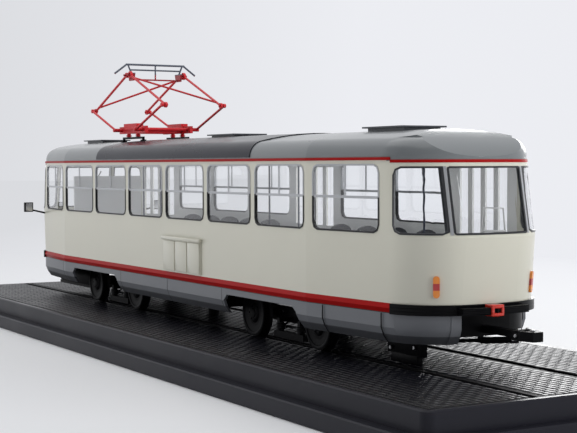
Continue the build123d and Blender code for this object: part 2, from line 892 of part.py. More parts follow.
def couplers():
    pair = [coupler(), swing_bar()]
    return pair + [Rot(0, 0, 180) * piece for piece in pair]


def equipment():
    return [box(x1, x0, -BOX_RIGHT_Y, BOX_LEFT_Y, BOX_Z, FLOOR_Z) for x0, x1 in UNDERFLOOR]


def lifeguard():
    """Tray under the front end, on four straps."""
    x1 = HALF_L - TRAY_FRONT_IN
    x0 = x1 - TRAY_L
    top = TRAY_Z + TRAY_T
    tray = box(x0, x1, -TRAY_HALF_W, TRAY_HALF_W, TRAY_Z, top)
    for x in (x0, x1 - 3 * STRAP_W):
        for y in (-TRAY_HALF_W, TRAY_HALF_W - STRAP_W):
            tray = tray + box(x, x + STRAP_W, y, y + STRAP_W, top, FLOOR_Z)
    return tray


# Lamps and fittings
solid_body = body(0)
lamp_skin = layer(-LAMP_OUT, 0) & across(-LONG, LONG, BELT_TOP_Z, WAIST_Z)


def headlamps():
    rows = []
    for sy in (1, -1):
        lamp = Pos(HALF_L, sy * LAMP_Y, LAMP_Z) * Rot(0, 90, 0) * Cylinder(LAMP_R, HALF_W)
        rows += (lamp & lamp_skin).solids()
    return rows


def tail_lamps():
    """Upright capsule on each rear corner."""
    rows = []
    slot = RectangleRounded(TAIL_W, TAIL_H, 0.49 * TAIL_W)
    _, _, _, centre, _ = end_points(HALF_L, HALF_W, KINK_REAR, END_R, CORNER_R)
    x = centre[0] + CORNER_R * math.cos(math.radians(TAIL_TURN))
    y = centre[1] + CORNER_R * math.sin(math.radians(TAIL_TURN))
    for sy in (1, -1):
        lamp = facing(-x, sy * y, TAIL_Z, 180 - sy * TAIL_TURN) * extrude(slot, HOLE_DEPTH, both=True)
        rows += (lamp & lamp_skin).solids()
    return rows


def mirrors():
    rows = []
    x = HALF_L - MIRROR_IN
    wall = taper_y(x, KINK_FRONT)
    for sy in (1, -1):
        y = sy * (wall + MIRROR_OUT)
        z = MIRROR_Z + MIRROR_T / 2
        arm = bar((x, sy * (wall - WALL_T), z - MIRROR_T), (x, y + sy * MIRROR_ARM_R, z), MIRROR_ARM_R)
        ys = sorted((y, y + sy * MIRROR_W))
        head = box(x - MIRROR_T / 2, x + MIRROR_T / 2, ys[0], ys[1], MIRROR_Z, MIRROR_Z + MIRROR_H)
        rows += (arm + head - solid_body).solids()
    return rows


def louvre():
    """Raised panel in three fields under a small hood."""
    low = SILL_TOP_Z + LOUVRE_GROOVE
    panel = box(LOUVRE_REAR, LOUVRE_FRONT, HALF_W, HALF_W + LOUVRE_OUT, low, LOUVRE_TOP_Z)
    hood = box(LOUVRE_REAR - HOOD_OVER, LOUVRE_FRONT + HOOD_OVER, HALF_W, HALF_W + HOOD_OUT,
               LOUVRE_TOP_Z, LOUVRE_TOP_Z + HOOD_H)
    shape = panel + hood
    field = (LOUVRE_FRONT - LOUVRE_REAR) / 3
    half = LOUVRE_GROOVE / 2
    for k in (1, 2):
        x = LOUVRE_REAR + k * field
        shape = shape - box(x - half, x + half, HALF_W + half, WIDE, low + HOOD_OUT, LOUVRE_TOP_Z - half)
    return shape


def vents():
    """Raised lids on the crown, each on a smaller riser."""
    rows = []
    for x0, x1, half_w in VENTS:
        z = ROOF_Z + MAT_T + LID_UP
        lid = box(x0, x1, -half_w, half_w, z, z + LID_T)
        inner = half_w - LID_INSET
        riser = box(x0 + LID_INSET, x1 - LID_INSET, -inner, inner, CEILING_Z, z)
        rows += on_roof(lid + riser)
    return rows


# Inside
deck = FLOOR_Z + FLOOR_T

def seat(x, y):
    pad_z = deck + SEAT_PAD_UP
    back_z = pad_z + SEAT_PAD_T
    half = SEAT_HALF
    leg = box(x - SEAT_LEG_HALF, x + SEAT_LEG_HALF, y - SEAT_LEG_HALF, y + SEAT_LEG_HALF, deck, pad_z)
    pad = box(x - half, x + half, y - half, y + half, pad_z, back_z)
    back = box(x - half, x - half + SEAT_BACK_T, y - half, y + half, back_z, back_z + SEAT_BACK_H)
    return leg + pad + back


def seats():
    """Two rows, left clear behind the cab and inside the middle door."""
    rows = []
    for k in range(BAYS_LEFT):
        for dx in (-SEAT_DX, SEAT_DX):
            x = BAY_FIRST_X - k * BAY_PITCH + dx
            if x > BAY_FIRST_X:
                continue
            rows.append(seat(x, HALF_W - SEAT_IN))
            if k != DOOR_BAY:
                rows.append(seat(x, SEAT_IN - HALF_W))
    return rows


def poles():
    return [bar((x, y, deck), (x, y, CEILING_Z), POLE_R, 6) for x, y in POLES]


def cab():
    """Bulkhead, driver's seat and desk."""
    x = KINK_FRONT - BULKHEAD_IN
    wall = box(x, x + BULKHEAD_T, BULKHEAD_Y, HALF_W - 2 * WALL_T, deck, BULKHEAD_Z)
    x = KINK_FRONT + DRIVER_X
    side = DRIVER_Y + DRIVER_W
    pad_z = deck + DRIVER_PAD_H
    cushion = box(x, x + DRIVER_L, DRIVER_Y, side, deck, pad_z)
    back = box(x, x + DRIVER_BACK_T, DRIVER_Y, side, pad_z, pad_z + DRIVER_BACK_H)
    x = HALF_L - DESK_IN
    desk = box(x - DESK_L, x, DESK_RIGHT_Y, DESK_LEFT_Y, deck, deck + DESK_H)
    return [wall, cushion + back, desk]


# Bogies
axle_z = WHEEL_R + WHEEL_LIFT
axle_dx = WHEELBASE / 2


def bogie_frame(x):
    length = axle_dx + BEAM_OVERHANG
    half = BOLSTER_L / 2
    shape = box(x - half, x + half, -BEAM_Y, BEAM_Y, BEAM_Z + BOLSTER_UP, KING_FLANGE_Z - PIVOT_GAP)
    for sy in (1, -1):
        y0 = sy * BEAM_Y - BEAM_T / 2
        shape = shape + box(x - length, x + length, y0, y0 + BEAM_T, BEAM_Z, BEAM_TOP_Z)
    for sx in (1, -1):
        bore = Pos(x + sx * axle_dx, 0, axle_z) * Rot(90, 0, 0) * Cylinder(AXLE_R + AXLE_GAP, WIDE)
        shape = shape - bore
    return shape - drum(x, 0, 0, KING_R + KING_GAP, TALL)


def motors(x):
    """One motor against each face of the bolster."""
    rows = []
    for sx in (1, -1):
        mid = x + sx * (BOLSTER_L / 2 + MOTOR_R)
        section = RegularPolygon(MOTOR_R, 8, major_radius=False, rotation=22.5)
        rows.append(Pos(mid, 0, MOTOR_Z) * Rot(90, 0, 0) * extrude(section, MOTOR_HALF_L, both=True))
    return rows


def rail_brakes(x):
    rows = []
    face = BEAM_Y + BEAM_T / 2
    mid = GAUGE_Y - FLANGE_T / 2
    for sy in (1, -1):
        y0 = sy * mid - BRAKE_T / 2
        shoe = box(x - BRAKE_L / 2, x + BRAKE_L / 2, y0, y0 + BRAKE_T, BRAKE_Z, BRAKE_TOP_Z)
        ys = sorted((sy * face, sy * (mid + BRAKE_T / 2)))
        low = BEAM_Z + BRAKE_ARM_UP
        top = low + BRAKE_ARM_H
        for dx in (-BRAKE_ARM_DX, BRAKE_ARM_DX):
            x0 = x + dx - BRAKE_ARM_HALF
            x1 = x + dx + BRAKE_ARM_HALF
            arm = box(x0, x1, ys[0], ys[1], low, top)
            shoe = shoe + arm + box(x0, x1, y0, y0 + BRAKE_T, BRAKE_TOP_Z, top)
        rows.append(shoe)
    return rows


def wheelset(x):
    """Axle with both wheels, turned as one piece."""
    back = GAUGE_Y - FLANGE_T
    front = GAUGE_Y + TREAD_W
    points = [
        # distance along the axle, radius
        (0, 0),
        (0, AXLE_R),
        (back, AXLE_R),
        (back, WHEEL_R + FLANGE_UP),
        (GAUGE_Y, WHEEL_R),
        (front, WHEEL_R),
        (front - DISH_DEEP, 0),
    ]
    half = revolve(make_face(Polyline(*points, close=True)), Axis.X)
    both = half + mirror(half, Plane.YZ)
    return Pos(x, 0, axle_z) * Rot(0, 0, 90) * both


# Pantograph
def base_frame():
    """Two side rails with the shaft bores and spring covers, and two cross bars."""
    low = SHAFT_Z - RAIL_DOWN
    top = SHAFT_Z + RAIL_UP
    cover = COVER_W / 2
    shape = None
    for sy in (1, -1):
        y0 = sy * BASE_Y - RAIL_T / 2
        rail = box(PANTO_X - RAIL_HALF_L, PANTO_X + RAIL_HALF_L, y0, y0 + RAIL_T, low, top)
        mid = sy * BASE_Y
        rail = rail + box(PANTO_X - COVER_HALF_L, PANTO_X + COVER_HALF_L, mid - cover, mid + cover,
                          top - RAIL_T, COVER_TOP_Z)
        shape = rail if shape is None else shape + rail
    for sx in (1, -1):
        x = PANTO_X + sx * CROSS_DX
        shape = shape + box(x - RAIL_T / 2, x + RAIL_T / 2, -BASE_Y, BASE_Y, low, low + RAIL_T)
        bore = Pos(PANTO_X + sx * SHAFT_DX, 0, SHAFT_Z) * Rot(90, 0, 0) * Cylinder(SHAFT_R + SHAFT_GAP, WIDE)
        shape = shape - bore
    return shape


def hoops():
    """Loop of bar along each side of the roof that carries the base on pegs."""
    rows = []
    for sy in (1, -1):
        y0 = sy * BASE_Y - HOOP_BAR / 2
        y1 = y0 + HOOP_BAR
        loop = box(PANTO_X - HOOP_HALF_L, PANTO_X + HOOP_HALF_L, y0, y1, HOOP_TOP_Z - HOOP_BAR, HOOP_TOP_Z)
        for sx in (1, -1):
            x = PANTO_X + sx * (HOOP_HALF_L - HOOP_BAR / 2)
            loop = loop + box(x - HOOP_BAR / 2, x + HOOP_BAR / 2, y0, y1, CEILING_Z, HOOP_TOP_Z)
            loop = loop + box(x - HOOP_FOOT / 2, x + HOOP_FOOT / 2, sy * BASE_Y - HOOP_FOOT / 2,
                              sy * BASE_Y + HOOP_FOOT / 2, CEILING_Z, ROOF_Z + MAT_T)
        rows += on_roof(loop)
    return rows


def pegs():
    rows = []
    top = SHAFT_Z - RAIL_DOWN
    for sx in (1, -1):
        for sy in (1, -1):
            x = PANTO_X + sx * PEG_DX
            y = sy * BASE_Y
            rows.append(bar((x, y, HOOP_TOP_Z), (x, y, top), PEG_R, 8))
    return rows


def lower_arm(s):
    """Cross shaft with two arms and their knee pins; s is +1 for the front."""
    x0 = PANTO_X + s * SHAFT_DX
    x1 = PANTO_X + s * KNEE_DX
    end_y = ARM_Y + EYE_T
    shape = rod((x0, -end_y, SHAFT_Z), (x0, end_y, SHAFT_Z), SHAFT_R)
    for sy in (1, -1):
        y = sy * ARM_Y
        shape = shape + bar((x0, y, SHAFT_Z), (x1, y, KNEE_Z), TUBE_R)
        tip = sy * (FRAME_Y - EYE_T / 2 - PIN_R)
        shape = shape + rod((x1, y, KNEE_Z), (x1, tip, KNEE_Z), PIN_R)
        shape = shape + bar((x1, y - sy * TUBE_R, KNEE_Z), (x1, y + sy * TUBE_R, KNEE_Z), 2 * PIN_R)
    return shape


def eye(x, y, z, radius):
    return bar((x, y - EYE_T / 2, z), (x, y + EYE_T / 2, z), radius, 10)


def upper_frame(s):
    """Two side tubes and one brace with an eye at each end; the rear top eyes are left open."""
    xk = PANTO_X + s * KNEE_DX
    xh = PANTO_X + s * HEAD_DX
    top_eye = EYE_R if s > 0 else OPEN_EYE_R
    top_bore = PIN_R + PIN_GAP if s > 0 else OPEN_BORE_R
    shape = None
    for sy in (1, -1):
        y = sy * FRAME_Y
        side = bar((xk, y, KNEE_Z), (xh, y, HEAD_PIVOT_Z), TUBE_R)
        side = side + eye(xk, y, KNEE_Z, EYE_R) + eye(xh, y, HEAD_PIVOT_Z, top_eye)
        shape = side if shape is None else shape + side
    f = BRACE_START
    dx = xh - xk
    dz = HEAD_PIVOT_Z - KNEE_Z
    low = (xk + f * dx, s * FRAME_Y, KNEE_Z + f * dz)
    high = (xh - f * dx, -s * FRAME_Y, HEAD_PIVOT_Z - f * dz)
    shape = shape + bar(low, high, BRACE_R)
    for sy in (1, -1):
        y = sy * FRAME_Y
        shape = shape - rod((xk, y - EYE_T, KNEE_Z), (xk, y + EYE_T, KNEE_Z), PIN_R + PIN_GAP)
        shape = shape - rod((xh, y - EYE_T, HEAD_PIVOT_Z), (xh, y + EYE_T, HEAD_PIVOT_Z), top_bore)
    return shape


def head():
    """Collector head: two strips with horns on slanted posts, cross bars and two pivot pins a side."""
    cheek_y = FRAME_Y - EYE_T / 2 - CHEEK_IN
    strips = (PANTO_X + STRIP_DX, PANTO_X - STRIP_DX)
    shape = bar((PANTO_X, -cheek_y, LOW_BAR_Z), (PANTO_X, cheek_y, LOW_BAR_Z), BRACE_R)
    shape = shape + bar((PANTO_X, 0, LOW_BAR_Z), (PANTO_X, 0, CROSS_Z), BRACE_R)
    shape = shape + bar((strips[0], 0, CROSS_Z), (strips[1], 0, CROSS_Z), BRACE_R)
    for sy in (1, -1):
        low = CHEEK_HALF_L - CHEEK_T
        side = [
            (PANTO_X - low, CHEEK_LOW_Z),
            (PANTO_X + low, CHEEK_LOW_Z),
            (PANTO_X + CHEEK_HALF_L, CHEEK_TOP_Z),
            (PANTO_X - CHEEK_HALF_L, CHEEK_TOP_Z),
        ]
        plate = Plane.XZ * make_face(Polyline(*side, close=True))
        shape = shape + Pos(0, sy * cheek_y, 0) * extrude(plate, CHEEK_T / 2, both=True)
        for sx in (1, -1):
            x = PANTO_X + sx * HEAD_DX
            tip = sy * (FRAME_Y + EYE_T / 2 + PIN_R)
            shape = shape + rod((x, sy * cheek_y, HEAD_PIVOT_Z), (x, tip, HEAD_PIVOT_Z), PIN_R)
    rise = (CROSS_Z - CHEEK_TOP_Z) / (STRIP_Z - CHEEK_TOP_Z)
    cross_y = cheek_y + rise * (POST_HALF_Y - cheek_y)
    for x in strips:
        shape = shape + bar((x, -cross_y, CROSS_Z), (x, cross_y, CROSS_Z), BRACE_R)
        shape = shape + bar((x, -STRIP_HALF_Y, STRIP_Z), (x, STRIP_HALF_Y, STRIP_Z), STRIP_R)
        for sy in (1, -1):
            foot = (x, sy * cheek_y, CHEEK_TOP_Z - CHEEK_T)
            shape = shape + bar(foot, (x, sy * POST_HALF_Y, STRIP_Z), BRACE_R)
            knee = (x, sy * (STRIP_HALF_Y - STRIP_R), STRIP_Z)
            shape = shape + bar(knee, (x, sy * HORN_Y, HORN_Z), STRIP_R)
    return shape


save("plinth_base", plinth(), 0)
save("paving_insert", paving(), 0)
save("hold_down_screws", Bag(screws()), 0)
for name, panel in body_panels():
    save(name, panel)
save("roof_shell", roof_shell())
save("roof_mat", mat())
save("gutter_lines", gutters())
save("sill_mouldings", mouldings())
save("bumper_belts", belts())
skirt_ring = skirts()
save("skirt_left", skirt_ring & box(-LONG, LONG, 0, WIDE, 0, TALL))
save("skirt_right", skirt_ring & box(-LONG, LONG, -WIDE, 0, 0, TALL))
glass_skin = layer(GLASS_OUT, GLASS_OUT + GLASS_T)
rubber_skin = layer(-GASKET_OUT, GASKET_IN)
save("side_glass", Bag(panes(glass_skin, sides, side_hole)))
save("end_glass", Bag(panes(glass_skin, ends, end_hole)))
save("side_gaskets", Bag(frames(rubber_skin, sides, side_hole)))
save("end_gaskets", Bag(frames(rubber_skin, ends, end_hole)))
save("window_bars", Bag(bars()))
leaf_metal, leaf_glass = leaf_frames()
save("door_leaves", Bag(leaf_metal))
save("door_glass", Bag(leaf_glass))
save("floor_plate", floor())
save("end_aprons", aprons())
save("couplers", Bag(couplers()))
save("underfloor_boxes", Bag(equipment()))
save("lifeguard", lifeguard())
save("headlamps", Bag(headlamps()))
save("tail_lamps", Bag(tail_lamps()))
save("mirrors", Bag(mirrors()))
save("louvre_cover", louvre())
save("roof_vents", Bag(vents()))
save("seats", Bag(seats()))
save("grab_poles", Bag(poles()))
save("cab_fittings", Bag(cab()))
for end, sx in (("front", 1), ("rear", -1)):
    save(f"bogie_frame_{end}", bogie_frame(sx * BOGIE_X))
    save(f"bogie_motors_{end}", Bag(motors(sx * BOGIE_X)))
    save(f"rail_brakes_{end}", Bag(rail_brakes(sx * BOGIE_X)))
    for place, dx in (("lead", axle_dx), ("trail", -axle_dx)):
        save(f"wheelset_{end}_{place}", wheelset(sx * BOGIE_X + dx))
save("panto_base", base_frame())
save("panto_hoops", Bag(hoops()))
save("panto_pegs", Bag(pegs()))
for end, s in (("front", 1), ("rear", -1)):
    save(f"panto_lower_{end}", lower_arm(s))
    save(f"panto_upper_{end}", upper_frame(s))
save("panto_head", head())
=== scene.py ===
import json
import math
import random

import bmesh
import bpy
from mathutils import Matrix, Vector

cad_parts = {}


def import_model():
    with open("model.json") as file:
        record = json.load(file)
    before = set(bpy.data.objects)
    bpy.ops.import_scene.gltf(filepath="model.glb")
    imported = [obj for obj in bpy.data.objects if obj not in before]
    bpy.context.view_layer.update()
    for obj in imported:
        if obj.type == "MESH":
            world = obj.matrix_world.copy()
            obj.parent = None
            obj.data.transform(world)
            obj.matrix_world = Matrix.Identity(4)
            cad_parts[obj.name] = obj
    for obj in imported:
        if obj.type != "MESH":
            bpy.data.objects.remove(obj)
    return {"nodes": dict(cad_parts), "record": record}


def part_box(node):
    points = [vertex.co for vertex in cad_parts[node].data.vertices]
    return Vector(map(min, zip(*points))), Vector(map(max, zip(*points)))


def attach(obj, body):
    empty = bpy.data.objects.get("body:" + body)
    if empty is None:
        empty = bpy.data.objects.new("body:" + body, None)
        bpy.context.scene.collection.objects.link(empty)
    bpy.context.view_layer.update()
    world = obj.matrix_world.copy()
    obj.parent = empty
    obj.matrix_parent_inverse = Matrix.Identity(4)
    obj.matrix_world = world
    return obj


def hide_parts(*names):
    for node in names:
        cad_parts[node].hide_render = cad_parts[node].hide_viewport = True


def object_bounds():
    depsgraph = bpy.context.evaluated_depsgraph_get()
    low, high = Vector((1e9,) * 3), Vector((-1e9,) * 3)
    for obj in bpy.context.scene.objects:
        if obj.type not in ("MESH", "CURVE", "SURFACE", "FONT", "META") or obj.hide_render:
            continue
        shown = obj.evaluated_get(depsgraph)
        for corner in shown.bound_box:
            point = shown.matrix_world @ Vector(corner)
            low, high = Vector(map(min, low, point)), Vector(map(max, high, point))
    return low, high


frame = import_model()
cad_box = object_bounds()
NODES = frame["nodes"]
MM = 0.001
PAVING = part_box("paving_insert")[1].z

# Camera of the photograph: place, turn and lens
CAMERA_AT = (-0.47672, 0.24772, 0.07258)
CAMERA_YAW = math.radians(29.74)
CAMERA_PITCH = math.radians(2.17)
CAMERA_ROLL = math.radians(-0.23)
CAMERA_LENS = 85.05
CAMERA_SENSOR = 36.0
CAMERA_CLIP = (0.01, 50.0)

# Body, in millimetres with heights from the paving
HALF_L = 162.0
HALF_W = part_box("body_side_left")[1].y / MM
END_R = 60.0
CORNER_R = 18.0
KINK = 110.6
KINK_REAR = 105.3
KINK_MID = 108.0
TAPER_TURN = math.radians(5.9)
TAPER = math.tan(TAPER_TURN)
LINING_IN = 0.75
BAR_Z = 51.0
END_LINE_Z = 61.7
SILL_Z = 17.45
FLOOR_Z = 19.0
DECK_Z = 20.6


# Node trees
def tree_of(name):
    """New material with its node tree, shader and object coordinates."""
    material = bpy.data.materials.new(name)
    material.use_nodes = True
    tree = material.node_tree
    shader = tree.nodes["Principled BSDF"]
    place = tree.nodes.new("ShaderNodeTexCoord")
    return material, tree, shader, place.outputs["Object"]


def noise(tree, place, scale, detail=4.0, roughness=0.55):
    node = tree.nodes.new("ShaderNodeTexNoise")
    node.inputs["Scale"].default_value = scale
    node.inputs["Detail"].default_value = detail
    node.inputs["Roughness"].default_value = roughness
    tree.links.new(place, node.inputs["Vector"])
    return node.outputs["Fac"]


def ramp(tree, value, stops, hard=False):
    """Colour ramp: rows of position and colour, with hard or soft steps."""
    node = tree.nodes.new("ShaderNodeValToRGB")
    node.color_ramp.interpolation = "CONSTANT" if hard else "LINEAR"
    elements = node.color_ramp.elements
    while len(elements) < len(stops):
        elements.new(0.5)
    for element, (position, colour) in zip(elements, stops):
        element.position = position
        element.color = (*colour, 1.0)
    tree.links.new(value, node.inputs["Fac"])
    return node.outputs["Color"]


def spread(tree, value, low, high, start=0.3, end=0.7):
    """Maps a value from start and end to low and high."""
    node = tree.nodes.new("ShaderNodeMapRange")
    node.inputs["From Min"].default_value = start
    node.inputs["From Max"].default_value = end
    node.inputs["To Min"].default_value = low
    node.inputs["To Max"].default_value = high
    tree.links.new(value, node.inputs["Value"])
    return node.outputs["Result"]


def math_node(tree, operation, first, second=0.0):
    node = tree.nodes.new("ShaderNodeMath")
    node.operation = operation
    for value, socket in zip((first, second), node.inputs):
        if isinstance(value, (int, float)):
            socket.default_value = value
        else:
            tree.links.new(value, socket)
    return node.outputs["Value"]


def axis_of(tree, place, axis):
    node = tree.nodes.new("ShaderNodeSeparateXYZ")
    tree.links.new(place, node.inputs["Vector"])
    return node.outputs[axis]


def along(tree, place, way):
    """How far a place or a direction reaches along a way."""
    node = tree.nodes.new("ShaderNodeVectorMath")
    node.operation = "DOT_PRODUCT"
    node.inputs[1].default_value = way
    tree.links.new(place, node.inputs[0])
    return node.outputs["Value"]


def bump(tree, shader, height, strength, distance):
    node = tree.nodes.new("ShaderNodeBump")
    node.inputs["Strength"].default_value = strength
    node.inputs["Distance"].default_value = distance
    tree.links.new(height, node.inputs["Height"])
    tree.links.new(node.outputs["Normal"], shader.inputs["Normal"])


def ray_is(tree, *kinds):
    """1 for rays of the named kinds, else 0."""
    rays = tree.nodes.new("ShaderNodeLightPath")
    value = rays.outputs[kinds[0]]
    for kind in kinds[1:]:
        value = math_node(tree, "MAXIMUM", value, rays.outputs[kind])
    return value


def mix_shaders(tree, share, first, second):
    """Blend of two shaders: all of the first at 0, all of the second at 1."""
    node = tree.nodes.new("ShaderNodeMixShader")
    tree.links.new(share, node.inputs["Fac"])
    tree.links.new(first, node.inputs[1])
    tree.links.new(second, node.inputs[2])
    return node.outputs["Shader"]


def set_surface(tree, shader):
    tree.links.new(shader, tree.nodes["Material Output"].inputs["Surface"])


def shade(colour, share):
    return tuple(min(1.0, c * share) for c in colour)


def stepped(tree, drift, value, stops, vary):
    """Hard steps of colour along a value, each drifting a little in tone."""
    sides = []
    for share in (1 - vary, 1 + vary):
        rows = [(position, shade(colour, share)) for position, colour in stops]
        sides.append(ramp(tree, value, rows, hard=True))
    mix = tree.nodes.new("ShaderNodeMix")
    mix.data_type = "RGBA"
    tree.links.new(spread(tree, drift, 0.0, 1.0), mix.inputs["Factor"])
    tree.links.new(sides[0], mix.inputs["A"])
    tree.links.new(sides[1], mix.inputs["B"])
    return mix.outputs["Result"]


def banded(tree, place, drift, bands, vary):
    """Colour by height: rows of the height where each band starts and its colour."""
    low = bands[0][0]
    span = bands[-1][0] - low + 1.0
    start = PAVING + low * MM
    height = spread(tree, axis_of(tree, place, "Z"), 0.0, 1.0, start, start + span * MM)
    stops = [((z - low) / span, colour) for z, colour in bands]
    return stepped(tree, drift, height, stops, vary)


def inner_side(tree, place):
    """1 on faces well inside the body's plan, else 0."""
    station = math_node(tree, "ABSOLUTE", axis_of(tree, place, "X"))
    beyond = math_node(tree, "SUBTRACT", station, KINK_MID * MM)
    drop = math_node(tree, "MULTIPLY", math_node(tree, "MAXIMUM", beyond, 0.0), TAPER)
    reach = math_node(tree, "ADD", math_node(tree, "ABSOLUTE", axis_of(tree, place, "Y")), drop)
    return math_node(tree, "LESS_THAN", reach, (HALF_W - LINING_IN) * MM)


def facing(tree, up):
    """1 on faces that look up, or down, else 0."""
    node = tree.nodes.new("ShaderNodeNewGeometry")
    slope = axis_of(tree, node.outputs["Normal"], "Z")
    return math_node(tree, "GREATER_THAN" if up else "LESS_THAN", slope, 0.5 if up else -0.5)


# Materials
DRIFT_SCALE = 28.0
ROUGH_SHARES = (0.86, 1.14)
GRAIN_DEPTH = 0.03 * MM
RIB_SHARE = 3.0
COAT_ROUGH = 0.08
WAVE_SCALE = 70.0
WAVE_STRENGTH = 0.005
WAVE_DEPTH = 0.1 * MM


def finish(name, colour, rough, vary=0.05, grain=0.15, grain_scale=2600.0,
           metallic=0.0, coat=0.0, specular=0.5, bands=None, ribs=0.0, lining=None):
    """Paint, plastic or metal with slight tone drift, uneven gloss and a fine grain."""
    material, tree, shader, place = tree_of(name)
    drift = noise(tree, place, DRIFT_SCALE, 3.0)
    if bands:
        tone = banded(tree, place, drift, bands, vary)
    elif lining:
        inner = inner_side(tree, place) if lining == "side" else facing(tree, lining == "up")
        tone = stepped(tree, drift, inner, [(0.0, colour), (0.5, LINING)], vary)
    else:
        tone = ramp(tree, drift, [(0.3, shade(colour, 1 - vary)), (0.7, shade(colour, 1 + vary))])
    tree.links.new(tone, shader.inputs["Base Color"])
    low, high = ROUGH_SHARES
    tree.links.new(spread(tree, drift, rough * low, rough * high), shader.inputs["Roughness"])
    relief = noise(tree, place, grain_scale, 2.0)
    if ribs:
        turns = math_node(tree, "MULTIPLY", axis_of(tree, place, "Z"), math.tau / ribs)
        waves = math_node(tree, "SINE", turns)
        relief = math_node(tree, "ADD", math_node(tree, "MULTIPLY", waves, RIB_SHARE), relief)
    bump(tree, shader, relief, grain, GRAIN_DEPTH)
    shader.inputs["Metallic"].default_value = metallic
    shader.inputs["Coat Weight"].default_value = coat
    shader.inputs["Coat Roughness"].default_value = COAT_ROUGH
    shader.inputs["Specular IOR Level"].default_value = specular
    return material


def glazing(name, colour, rough=0.008, ior=1.48):
    """Clear pressed glazing that lets the lamps' light through to what is behind it."""
    material, tree, shader, place = tree_of(name)
    shader.inputs["Base Color"].default_value = (*colour, 1.0)
    shader.inputs["Transmission Weight"].default_value = 1.0
    shader.inputs["IOR"].default_value = ior
    waves = noise(tree, place, WAVE_SCALE, 1.0)
    tree.links.new(spread(tree, waves, rough, rough * 2.0), shader.inputs["Roughness"])
    bump(tree, shader, waves, WAVE_STRENGTH, WAVE_DEPTH)
    free = ray_is(tree, "Is Shadow Ray", "Is Diffuse Ray")
    film = tree.nodes.new("ShaderNodeBsdfTransparent")
    film.inputs["Color"].default_value = (*colour, 1.0)
    set_surface(tree, mix_shaders(tree, free, shader.outputs["BSDF"], film.outputs["BSDF"]))
    return material


